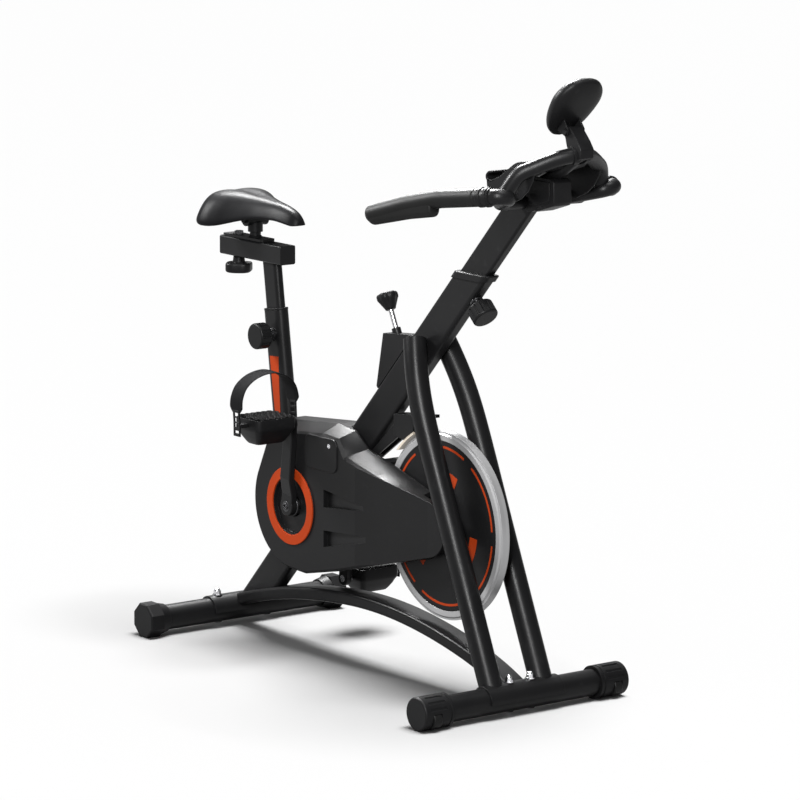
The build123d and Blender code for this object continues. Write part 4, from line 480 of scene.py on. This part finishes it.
near = bend_path(HB, [36.0, 17.0, 17.0, 220.0, 220.0], 3.0)
full = np.vstack([flip(near)[::-1], near[1:]])
bar = sweep("handlebar_bar", full, circle(14.3, 32), "frame_black")
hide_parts("handlebar_main_bar")
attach(bar, "handlebar")
LPN = [(84, -112, 984), (103, -95, 1020), (120, -72, 1034.5), (140, -42, 1048.5), (155, -16, 1056)]
lpp = LPN + [(158, 0, 1057)] + [(x, -y, z) for x, y, z in reversed(LPN)]
loop = sweep("handlebar_loop", spline(lpp, 150), circle(14.0, 32), "frame_black")
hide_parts("handlebar_front_loop")
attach(loop, "handlebar")

arm0 = np.array(HB[3], float)
adir = np.array(HB[4], float) - arm0
adir /= np.linalg.norm(adir)
gend_d = np.array(HB[6], float) - np.array(HB[5], float)
gend_d /= np.linalg.norm(gend_d)
tip = np.array(HB[6], float) + gend_d * 14.0
g_pts = [tuple(arm0 + adir * 54), HB[4], HB[5], tuple(tip)]
foam_path = bend_path(g_pts, [220.0, 220.0], 2.5)


def end_scale(path, r, start=2.0, end=None):
    """radius factors that round both ends of a sweep"""
    d = np.concatenate([[0], np.cumsum(np.linalg.norm(np.diff(path, axis=0), axis=1))])
    L = d[-1]
    out = []
    for q in d:
        k = 1.0
        if q < start:
            k = 1 - 0.12 * (1 - q / start) ** 2
        e = L - q
        if end and e < end:
            k = min(k, math.sqrt(max(0.0, 1 - (1 - e / end) ** 2)) * 0.97 + 0.03)
        out.append(k)
    return out


def dense_end(path, end, n=12):
    """more stations over the last bit, closing in on the tip"""
    d = np.concatenate([[0], np.cumsum(np.linalg.norm(np.diff(path, axis=0), axis=1))])
    L = d[-1]
    keep = [q for q in d if q < L - end]
    extra = [L - end * (1 - math.sin(math.pi / 2 * k / n)) for k in range(n + 1)]
    s_ = np.array(keep + extra)
    return np.array([[np.interp(q, d, path[:, i]) for i in range(3)] for q in s_])


for sg, nm in ((1, "right"), (-1, "left")):
    fp = foam_path if sg > 0 else flip(foam_path)
    fp2 = dense_end(fp, 13.0)
    foam = sweep("grip_foam_" + nm, fp2, circle(17.1, 40), "rubber", scale=end_scale(fp2, 17, 2.5, 13.0), angle=60)
    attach(foam, "handlebar")
    # palm pad under the grip: deepest at its inner end
    n = len(fp)
    d = np.concatenate([[0], np.cumsum(np.linalg.norm(np.diff(fp, axis=0), axis=1))])
    s0, s1 = d[-1] - 158.0, d[-1] - 1.0
    st = []
    for k in range(9):
        st.append(s0 + 7.0 * (1 - math.cos(math.pi / 2 * k / 8)))
    st += list(np.linspace(s0 + 10, s1 - 16, 40))
    for k in range(1, 11):
        st.append(s1 - 16 + 16 * math.sin(math.pi / 2 * k / 10))
    path = np.array([[np.interp(q, d, fp[:, i]) for i in range(3)] for q in st])
    profs = []
    for q in st:
        f = (q - s0) / (s1 - s0)
        depth = 15.5 - 11.0 * f ** 1.1
        e0 = min(1.0, (q - s0) / 7.0)
        e1 = min(1.0, (s1 - q) / 16.0)
        r0 = math.sqrt(max(0.0, 1 - (1 - e0) ** 2)) * 0.93 + 0.07
        r1 = math.sqrt(max(0.0, 1 - (1 - e1) ** 2)) * 0.97 + 0.03
        k = min(r0, r1)
        hw = 15.6 * (0.75 + 0.25 * k)
        pr = []
        dd = depth * k
        for i in range(40):
            t = 2 * math.pi * i / 40
            cx, cy = math.cos(t), math.sin(t)
            px_ = hw * math.copysign(abs(cx) ** 0.8, cx) * (r1 if q > s1 - 16 else 1)
            py_ = (15.0 * cy if cy > 0 else 15.5 * -abs(cy) ** 0.8 - dd) * (r1 if q > s1 - 16 else 1)
            pr.append((px_, py_))
        profs.append(np.array(pr))
    pad = sweep("grip_palm_pad_" + nm, path, profs, "rubber", angle=70)
    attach(pad, "handlebar")
    if nm == "right":
        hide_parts("handlebar_grips_and_collars")
    # two-step collar
    prof_c = [(20, 15.2), (21, 16.6), (24, 16.8), (25, 18.4), (30, 18.7), (31.5, 17.0), (38, 16.6), (39.5, 18.4), (46, 18.6), (47.5, 17.2), (54, 17.0), (56, 15.0)]
    cp = np.array([arm0 + adir * q for q, _ in prof_c])
    cp = cp if sg > 0 else flip(cp)
    col = sweep("grip_collar_" + nm, cp, circle(1.0, 40), "plastic_black", scale=[r for _, r in prof_c], angle=30)
    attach(col, "handlebar")

# tray between the loop's legs: a folded plate with a lip, and skirts down to the bar


def slab(name, pts, y0, y1, material, r=1.0, sub=0):
    """extruded polygon (x, z) between y0 and y1 with eased edges"""
    n = len(pts)
    verts = [P(x, y0, z) for x, z in pts] + [P(x, y1, z) for x, z in pts]
    faces = [tuple(range(n)), tuple(reversed(range(n, 2 * n)))] + [(i, i + n, (i + 1) % n + n, (i + 1) % n) for i in range(n)]
    ob = add_mesh(name, verts, faces, material)
    bm_fix(ob)
    md = ob.modifiers.new("bev", 'BEVEL')
    md.width = r / 1000.0
    md.segments = 2
    md.limit_method = 'ANGLE'
    md.harden_normals = False
    return ob


def plate_profile(pts, t):
    p = np.array(pts, float)
    d = np.gradient(p, axis=0)
    d /= np.linalg.norm(d, axis=1)[:, None]
    nrm = np.stack([-d[:, 1], d[:, 0]], 1)
    return [tuple(q) for q in p + nrm * t / 2] + [tuple(q) for q in (p - nrm * t / 2)[::-1]]


tl = spline([(5, 0, 1016.5), (-4, 0, 1015.5), (-11, 0, 1009), (-9, 0, 1002), (2, 0, 1000), (16, 0, 1004), (30, 0, 1010), (52, 0, 1024), (75, 0, 1037.5), (96, 0, 1042), (120, 0, 1044.5)], 66)[:, [0, 2]]
tray = slab("tray_plate", plate_profile(tl, 4.0), -78, 78, "plastic_black", 1.0)
if "tablet_tray" in frame["nodes"]:
    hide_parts("tablet_tray")
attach(tray, "handlebar")
for sg in (1, -1):
    sk = [(-11, 1006), (-6, 1003), (4, 1001), (16, 1004), (30, 1010), (52, 1024), (75, 1037), (96, 1041), (121, 1043), (130, 1036), (124, 1012), (110, 992), (90, 976), (60, 964), (26, 958), (6, 968), (-8, 984)]
    skirt = slab("tray_skirt_" + ("right" if sg > 0 else "left"), sk, -sg * 74.5, -sg * 78.0, "plastic_black", 1.0)
    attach(skirt, "handlebar")
    if sg > 0:
        web = slab("tray_crown_web", [(96, 1034), (121, 1042), (143, 1052), (146, 1046), (126, 1030), (100, 1022)], -40, 40, "plastic_black", 1.0)
        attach(web, "handlebar")
hcov = slab("head_front_cover", [(104, 1009), (112.5, 1003), (114, 966), (110, 960), (60, 945), (58, 951), (100, 966), (100, 1004)], -20.5, 20.5, "plastic_black", 1.6)
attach(hcov, "handlebar")
hpan = slab("head_blank_plate", [(42, 1003), (101, 1003), (101, 969), (60, 957), (42, 957)], -20.2, -21.6, "plastic_black", 0.8)
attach(hpan, "handlebar")

# ---------------------------------------------------------------------------
# console: smooth egg, with its bracket
# ---------------------------------------------------------------------------
CNv = np.array([-math.cos(math.radians(40)), 0, math.sin(math.radians(40))])
CUv = np.array([math.sin(math.radians(40)), 0, math.cos(math.radians(40))])
CCv = np.array([137.0, 0.0, 1142.0])
EGG = [(0, 67), (16, 65.5), (30, 60), (41, 49), (48, 36), (51, 21), (50, 6), (47, -11), (42, -28), (35, -43), (27, -54), (14, -64), (0, -67)]
eg = spline([(a_, 0, b_) for a_, b_ in EGG], 60)[:, [0, 2]]
eg = np.vstack([eg, [(-a_, b_) for a_, b_ in eg[::-1][1:-1]]])


def egg_ring(scale, n_):
    return [CCv + CUv * (q[1] * scale) + CNv * n_ + np.array([0, q[0] * scale, 0]) for q in eg]


layers = []
for k in range(0, 15):
    ph = math.pi / 2 * (1 - k / 14.0)
    layers.append((max(0.02, math.cos(ph) ** 0.62), -1.5 - 15.0 * math.sin(ph) ** 0.8))
for k in range(1, 8):
    ph = math.radians(60) * k / 7.0
    layers.append((0.90 + 0.10 * math.cos(ph * 1.5), -1.5 + 11.3 * math.sin(ph) / math.sin(math.radians(60))))
layers.append((0.86, 10.0))
layers.append((0.84, 9.2))
verts, faces = [], []
n = len(eg)
for sc_, n_ in layers:
    verts += [P(*q) for q in egg_ring(sc_, n_)]
for i in range(len(layers) - 1):
    for j in range(n):
        j2 = (j + 1) % n
        faces.append((i * n + j, i * n + j2, (i + 1) * n + j2, (i + 1) * n + j))
faces.append(tuple(reversed(range(n))))
faces.append(tuple((len(layers) - 1) * n + j for j in range(n)))
con = add_mesh("console_shell", verts, faces, "plastic_black", angle=60)
bm_fix(con)
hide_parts("console_housing")
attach(con, "console")
for sg in (1, -1):
    K = CCv + CUv * -30 + CNv * -33
    lug = []
    for u_, n_ in ((-46, -9), (-14, -9), (-19, -22), (-22, -36), (-30, -41), (-38, -36), (-42, -22)):
        q = CCv + CUv * u_ + CNv * n_
        lug.append((q[0], q[2]))
    lg = slab("console_lug_" + ("right" if sg > 0 else "left"), lug, -sg * 16.0, -sg * 19.5, "plastic_black", 0.8)
    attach(lg, "console")
# bracket arm, crown clamp and screws
arm = slab("console_arm", [(K[0] - 8, K[2] + 3), (K[0] - 1, K[2] + 9), (K[0] + 8, K[2] + 5), (163, 1081), (178, 1066), (176, 1050), (160, 1044), (143, 1052), (140, 1066)], -7.0, 7.0, "plastic_black", 1.4)
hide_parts("console_bracket")
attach(arm, "handlebar")
armb = slab("console_arm_channel", [(K[0] - 9, K[2] - 7), (K[0] - 9, K[2] + 3), (K[0] - 3, K[2] + 9), (K[0] + 6, K[2] + 9), (K[0] + 13, K[2] + 1), (172, 1082), (182, 1068), (181, 1052), (164, 1046), (148, 1058), (141, 1072), (K[0] - 6, K[2] - 12)], -15.5, 15.5, "plastic_black", 1.8)
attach(armb, "handlebar")
for sg in (1, -1):
    cp = np.array([(158.0, -sg * q, 1057.0 + 0.0) for q in (9, 10, 19, 20)])
    ring = sweep("crown_clamp_" + ("right" if sg > 0 else "left"), np.array([spline(lpp, 150)[i] for i in ((80, 83, 86, 89) if sg < 0 else (70, 67, 64, 61))]), circle(17.0, 36), "plastic_black", angle=40)
    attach(ring, "handlebar")


def disc_y(name, x, z, r, y0, y1, material, n=28, dome=0.0):
    prof = [(r, y0), (r, y1 + (1 if y1 < y0 else -1) * -0.0), (r * 0.9, y1 + (-0.8 if y1 < y0 else 0.8) * (1 if dome >= 0 else -1))]
    verts = []
    for rr, yy in prof:
        for i in range(n):
            t = 2 * math.pi * i / n
            verts.append(P(x + rr * math.cos(t), yy, z + rr * math.sin(t)))
    faces = []
    for k in range(len(prof) - 1):
        for i in range(n):
            faces.append((k * n + i, k * n + (i + 1) % n, (k + 1) * n + (i + 1) % n, (k + 1) * n + i))
    faces.append(tuple(range(n)))
    faces.append(tuple((len(prof) - 1) * n + i for i in range(n)))
    ob = add_mesh(name, verts, faces, material)
    bm_fix(ob)
    return ob


scw = disc_y("console_screw", 166, 1064, 4.0, -15.5, -17.6, "chrome")
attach(scw, "handlebar")
pvt = disc_y("console_pivot_head", K[0], K[2], 6.0, -19.5, -22.0, "plastic_black")
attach(pvt, "console")

# ---------------------------------------------------------------------------
# pedals: raised honeycomb tread and toe straps with perforated tails
# ---------------------------------------------------------------------------
STR = [(-622, -207.0, 450), (-622, -207.5, 478), (-622, -209, 504), (-622, -207, 526), (-621, -196, 548), (-618, -172, 565), (-614, -140, 571.5), (-608, -112, 563), (-603, -97, 546), (-600, -91.8, 522), (-598, -92.0, 500), (-597, -92.0, 480)]


def strap(side):
    body = side + "_pedal"
    sgn = 1 if side == "right" else -1
    off = np.array([0, 0, 0.0]) if sgn > 0 else np.array([-663.7 + 622.3, 0, 124.3 - 461.7])

    def M(q):
        q = np.array(q, float) + off
        if sgn < 0:
            q[1] = -q[1]
        return q
    path = spline(STR, 110)
    n = len(path)
    tan = np.gradient(path, axis=0)
    tan /= np.linalg.norm(tan, axis=1)[:, None]
    f = np.linspace(0, 1, n)
    wd = np.stack([np.ones(n), -0.10 * np.sin(np.pi * f) ** 1.5, np.zeros(n)], 1)
    wd = wd - (wd * tan).sum(1)[:, None] * tan
    wd /= np.linalg.norm(wd, axis=1)[:, None]
    nm = np.cross(tan, wd)
    d = np.concatenate([[0], np.cumsum(np.linalg.norm(np.diff(path, axis=0), axis=1))])
    L = d[-1]
    t0, t1 = 50.0, L - 34.0

    def half_w(q):
        u_ = min(1.0, max(0.0, (q - t0 + 8) / 16.0)) * min(1.0, max(0.0, (t1 + 8 - q) / 16.0))
        u_ = u_ * u_ * (3 - 2 * u_)
        return 10.5 + 12.0 * u_
    idx = [i for i in range(n) if t0 - 4 <= d[i] <= t1 + 4]
    verts, faces = [], []
    sec = [(-1, 0.35), (-0.93, 0.9), (-0.8, 1), (0.8, 1), (0.93, 0.9), (1, 0.35), (1, -0.35), (0.93, -0.9), (0.8, -1), (-0.8, -1), (-0.93, -0.9), (-1, -0.35)]
    for i in idx:
        hw = half_w(d[i])
        for a_, b_ in sec:
            verts.append(P(*M(path[i] + wd[i] * a_ * hw + nm[i] * b_ * 1.4)))
    k = len(sec)
    for i in range(len(idx) - 1):
        for j in range(k):
            faces.append((i * k + j, i * k + (j + 1) % k, (i + 1) * k + (j + 1) % k, (i + 1) * k + j))
    faces.append(tuple(range(k)))
    faces.append(tuple((len(idx) - 1) * k + j for j in range(k)))
    band = add_mesh("pedal_strap_band_" + side, verts, faces, "webbing", angle=60)
    bm_fix(band)
    band2 = band
    # ladder tails
    verts, faces = [], []

    def bar(i0, i1, wlo, whi, th=1.5):
        base = len(verts)
        ids = list(range(i0, i1 + 1))
        for i in ids:
            for a_, b_ in ((wlo, -th), (whi, -th), (whi, th), (wlo, th)):
                verts.append(P(*M(path[i] + wd[i] * a_ + nm[i] * b_)))
        for m_ in range(len(ids) - 1):
            for j in range(4):
                faces.append((base + m_ * 4 + j, base + m_ * 4 + (j + 1) % 4, base + (m_ + 1) * 4 + (j + 1) % 4, base + (m_ + 1) * 4 + j))
        faces.append((base, base + 1, base + 2, base + 3))
        e_ = base + (len(ids) - 1) * 4
        faces.append((e_, e_ + 1, e_ + 2, e_ + 3))
    for lo_, hi_ in ((0.0, t0), (t1, L)):
        ids = [i for i in range(n) if lo_ - 0.1 <= d[i] <= hi_ + 0.1]
        i0, i1 = ids[0], ids[-1]
        bar(i0, i1, -10.5, -7.2)
        bar(i0, i1, 7.2, 10.5)
        q = lo_ + 1.0
        while q < hi_:
            c_ = int(np.argmin(np.abs(d - q)))
            c2 = int(np.argmin(np.abs(d - (q + 4.0))))
            if c2 > c_:
                bar(c_, c2, -10.5, 10.5)
            q += 11.5
    tails = add_mesh("pedal_strap_tails_" + side, verts, faces, "plastic_black", angle=30)
    bm_fix(tails)
    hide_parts("pedal_strap_" + side)
    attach(band, body)
    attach(tails, body)
    # honeycomb ridges
    verts, faces = [], []
    for i in range(-4, 5):
        for j in range(-4, 5):
            hx_, hy_ = i * 11.0, j * 12.7 + (6.35 if i % 2 else 0.0)
            if abs(hx_) < 34 and abs(hy_) < 40:
                base = len(verts)
                for rr, zz in ((7.1, 18.0), (6.7, 22.4), (6.2, 22.9), (5.5, 22.9), (5.1, 22.2), (5.0, 18.0)):
                    for k_ in range(6):
                        t = math.radians(60 * k_)
                        verts.append(P(*M((-622.3 + hx_ + rr * math.cos(t), -140 + hy_ + rr * math.sin(t), 461.7 + zz))))
                for l_ in range(5):
                    for k_ in range(6):
                        faces.append((base + l_ * 6 + k_, base + l_ * 6 + (k_ + 1) % 6, base + (l_ + 1) * 6 + (k_ + 1) % 6, base + (l_ + 1) * 6 + k_))
    # moulded body: tread slab on a waisted keel
    L_, W_ = 80.0, 92.0
    V2, F2 = [], []
    lay = [(19.0, -3.0, 8.0), (20.0, -1.2, 9.0), (19.6, 0.0, 10.0), (17.0, 0.6, 11.0), (3.0, 0.6, 11.0), (-1.0, 0.2, 11.0), (-4.0, -1.2, 11.0), (-8.0, -4.0, 11.0), (-16.0, -8.5, 10.0), (-26.0, -16.0, 9.0), (-30.5, -20.5, 8.0), (-31.5, -23.5, 7.0)]
    nn = 0
    for zz, gr, rad in lay:
        pr = rrect(L_ + 2 * gr, W_ + 1.45 * gr, rad)
        nn = len(pr)
        V2 += [P(*M((-622.3 + a_, -140 + b_, 461.7 + zz))) for a_, b_ in pr]
    for i in range(len(lay) - 1):
        for j in range(nn):
            F2.append((i * nn + j, i * nn + (j + 1) % nn, (i + 1) * nn + (j + 1) % nn, (i + 1) * nn + j))
    F2.append(tuple(range(nn)))
    F2.append(tuple((len(lay) - 1) * nn + j for j in reversed(range(nn))))
    pbod = add_mesh("pedal_moulding_" + side, V2, F2, "plastic_black", angle=42)
    bm_fix(pbod)
    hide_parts("pedal_body_" + side)
    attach(pbod, body)
    # end lugs that carry the strap
    for (x0_, x1_, y0_, y1_) in ((-630, -614, -206.0, -184.0),):
        V3, F3 = [], []
        for zz, e_ in ((4.0, 1.2), (5.0, 0), (11.0, 0), (12.0, 1.2)):
            for a_, b_ in rrect(x1_ - x0_ - 2 * e_, y1_ - y0_ - 2 * e_, 4.0):
                V3.append(P(*M(((x0_ + x1_) / 2 + a_, (y0_ + y1_) / 2 + b_, 461.7 + zz))))
        q_ = len(V3) // 4
        for i in range(3):
            for j in range(q_):
                F3.append((i * q_ + j, i * q_ + (j + 1) % q_, (i + 1) * q_ + (j + 1) % q_, (i + 1) * q_ + j))
        F3.append(tuple(range(q_)))
        F3.append(tuple(3 * q_ + j for j in reversed(range(q_))))
        lug_ = add_mesh("pedal_strap_lug_" + side, V3, F3, "plastic_black", angle=42)
        bm_fix(lug_)
        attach(lug_, body)
    tread = add_mesh("pedal_tread_" + side, verts, faces, "plastic_black", angle=30)
    bm_fix(tread)
    md = tread.modifiers.new("shell", 'SOLIDIFY')
    md.thickness = 0.0004
    md.offset = -1
    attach(tread, body)


strap("right")
strap("left")

# ---------------------------------------------------------------------------
# painted red shapes on the flywheel, and the strip on the seat tube
# ---------------------------------------------------------------------------
FX, FZ = -217.0, 319.0
GY_R, GY_L = -16.0 + 0.6, 6.0 - 0.6


def flat_shape(verts2, name, y0, th, sgn, out):
    """appends a thin extruded polygon on the disc"""
    V, Fc = out
    base = len(V)
    n_ = len(verts2)
    for yy in (y0 + sgn * 0.02, y0 + sgn * th):
        for dx, dz in verts2:
            V.append(P(FX + dx, yy, FZ + dz))
    Fc.append(tuple(base + i for i in range(n_)))
    Fc.append(tuple(base + n_ + i for i in reversed(range(n_))))
    for i in range(n_):
        Fc.append((base + i, base + n_ + i, base + n_ + (i + 1) % n_, base + (i + 1) % n_))


def arc_strip(r, w, a0, a1, n_=36):
    t = np.radians(np.linspace(a0, a1, n_))
    return [(r + w / 2, q) for q in t], [((r + w / 2) * math.cos(q), (r + w / 2) * math.sin(q)) for q in t] + [((r - w / 2) * math.cos(q), (r - w / 2) * math.sin(q)) for q in t[::-1]]


V, Fc = [], []
for y0, sgn in ((GY_R, -1), (GY_L, 1)):
    for k in range(6):
        _, poly = arc_strip(151.0, 4.6, 60 * k + 5, 60 * k + 55)
        flat_shape(poly, "r", y0, 0.45, sgn, (V, Fc))
    for k in range(3):
        _, poly = arc_strip(95.0, 22.0, 120 * k + 65, 120 * k + 115)
        flat_shape(poly, "r", y0, 0.45, sgn, (V, Fc))
gf = add_mesh("flywheel_painted_shapes", V, Fc, "red")
bm_fix(gf)
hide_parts("flywheel_red_graphics")
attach(gf, "flywheel")

dec = slab("seat_tube_red_strip", [(-787.2, 566.5), (-757.5, 568.5), (-754.0, 500), (-748.5, 432), (-762, 430), (-770.5, 461.5)], -15.05, -15.45, "red", 0.15)
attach(dec, "frame")

# ---------------------------------------------------------------------------
# brake rod and its six-lobed knob
# ---------------------------------------------------------------------------
RDV = np.array([0.438, 0.0, -0.899])
RDV /= np.linalg.norm(RDV)


def rod_at(s_):
    return np.array([-385.0, 0.0, 667.0]) + RDV * s_


def lathe(name, stations, material, lobes=0, n=96, angle=35.0):
    """stations: (distance along the rod axis, radius, lobe depth), first to last, closed by a centre point at each end"""
    sx, sy = np.array([0.899, 0.0, 0.438]) / np.linalg.norm([0.899, 0.0, 0.438]), np.array([0.0, 1.0, 0.0])
    verts, faces = [], []
    for s_, r_, dep in stations:
        for i in range(n):
            t = 2 * math.pi * i / n
            rr = r_ - dep * (0.5 - 0.5 * math.cos(lobes * t)) ** 2 if lobes else r_
            verts.append(P(*(rod_at(s_) + sx * rr * math.cos(t) + sy * rr * math.sin(t))))
    for k in range(len(stations) - 1):
        for i in range(n):
            j = (i + 1) % n
            faces.append((k * n + i, k * n + j, (k + 1) * n + j, (k + 1) * n + i))
    for k, (s_, r_, dep) in ((0, stations[0]), (len(stations) - 1, stations[-1])):
        c = len(verts)
        verts.append(P(*rod_at(s_)))
        for i in range(n):
            j = (i + 1) % n
            faces.append((c, k * n + j, k * n + i) if k == 0 else (c, k * n + i, k * n + j))
    ob = add_mesh(name, verts, faces, material, angle=angle)
    bm_fix(ob)
    return ob


knob = lathe("brake_hand_knob", [(-43.6, 8.6, 0.0), (-44.6, 10.2, 0.0), (-47.5, 11.2, 0.1), (-56.0, 15.6, 0.8), (-62.0, 18.6, 1.5), (-65.0, 20.4, 1.9),
                                 (-67.0, 21.0, 2.1), (-72.5, 21.0, 2.1), (-74.6, 20.3, 2.0), (-76.2, 18.6, 1.7), (-77.0, 15.5, 1.0), (-77.6, 9.0, 0.2)],
             "plastic_black", lobes=6)
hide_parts("brake_knob")
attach(knob, "tension_knob")
spindle = lathe("brake_spindle", [(-70.0, 4.4, 0.0), (-69.4, 5.0, 0.0), (156.3, 5.0, 0.0), (156.4, 8.0, 0.0), (160.6, 8.0, 0.0), (161.3, 7.3, 0.0)], "steel", n=48)
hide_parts("brake_rod")
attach(spindle, "tension_rod")

# ---------------------------------------------------------------------------
# floor, light and camera
# ---------------------------------------------------------------------------
def plain_stage():
    bpy.ops.mesh.primitive_plane_add(size=60, location=(0, 0, 0.0))
    fl = bpy.context.active_object
    fl.name = "studio_floor"
    m = bpy.data.materials.new("studio_floor")
    m.use_nodes = True
    nt = m.node_tree
    b = nt.nodes["Principled BSDF"]
    nz = nt.nodes.new("ShaderNodeTexNoise")
    nz.inputs["Scale"].default_value = 3.0
    mr = nt.nodes.new("ShaderNodeMapRange")
    mr.inputs[3].default_value = 0.90
    mr.inputs[4].default_value = 0.93
    nt.links.new(nz.outputs[0], mr.inputs[0])
    cb = nt.nodes.new("ShaderNodeCombineColor")
    for i in range(3):
        nt.links.new(mr.outputs[0], cb.inputs[i])
    nt.links.new(cb.outputs[0], b.inputs["Base Color"])
    b.inputs["Roughness"].default_value = 0.9
    fl.data.materials.append(m)
    sc = bpy.context.scene
    sc.view_settings.view_transform = 'Standard'
    w = sc.world or bpy.data.worlds.new("studio")
    sc.world = w
    w.use_nodes = True
    bg = w.node_tree.nodes.get("Background") or w.node_tree.nodes.new("ShaderNodeBackground")
    bg.inputs[0].default_value = (1, 1, 1, 1)
    bg.inputs[1].default_value = 0.16

    def area(name, loc, target, size, power):
        l = bpy.data.lights.new(name, 'AREA')
        l.shape = 'RECTANGLE'
        l.size, l.size_y = size
        l.energy = power
        o = bpy.data.objects.new(name, l)
        bpy.context.scene.collection.objects.link(o)
        o.location = loc
        d = Vector(target) - Vector(loc)
        o.rotation_euler = d.to_track_quat('-Z', 'Y').to_euler()
        return o

    sun = bpy.data.lights.new("overhead", 'SUN')
    sun.energy = 3.1
    sun.angle = math.radians(30)
    so = bpy.data.objects.new("overhead", sun)
    bpy.context.scene.collection.objects.link(so)
    so.rotation_euler = Vector((-0.18, -0.12, -1.0)).to_track_quat('-Z', 'Y').to_euler()
    # the three soft boxes shape the dark tubes; the overhead light alone carries the floor
    softs = [area("key", (2.8, -2.6, 2.6), (0, 0, 0.6), (0.6, 2.4), 420),
             area("rim", (-2.04, 0.92, 3.26), (-0.05, 0, 0.4), (1.1, 1.1), 620),
             area("side", (-2.5, -1.9, 2.7), (-0.4, 0, 0.8), (0.9, 0.9), 320)]
    off = bpy.data.collections.new("floor_unlit")
    off.objects.link(fl)
    for o in softs:
        o.light_linking.receiver_collection = off
    for c in off.collection_objects:
        c.light_linking.link_state = 'EXCLUDE'


plain_stage()
cam_d = bpy.data.cameras.new("camera")
cam = bpy.data.objects.new("camera", cam_d)
bpy.context.scene.collection.objects.link(cam)
cam_d.lens = 184.04
cam_d.sensor_width = 36.0
cam_d.clip_end = 100
fw = Vector((-0.78968, 0.58781, -0.17573))
rt = Vector((0.59666, 0.80249, 0.00308))
up = Vector((-0.14283, 0.10242, 0.98443))
rt = (rt - fw * rt.dot(fw)).normalized()
up = rt.cross(fw).normalized()
cam.matrix_world = Matrix(((rt.x, up.x, -fw.x, 5.79028 + XO), (rt.y, up.y, -fw.y, -4.58867), (rt.z, up.z, -fw.z, 1.90725), (0, 0, 0, 1)))
bpy.context.scene.camera = cam
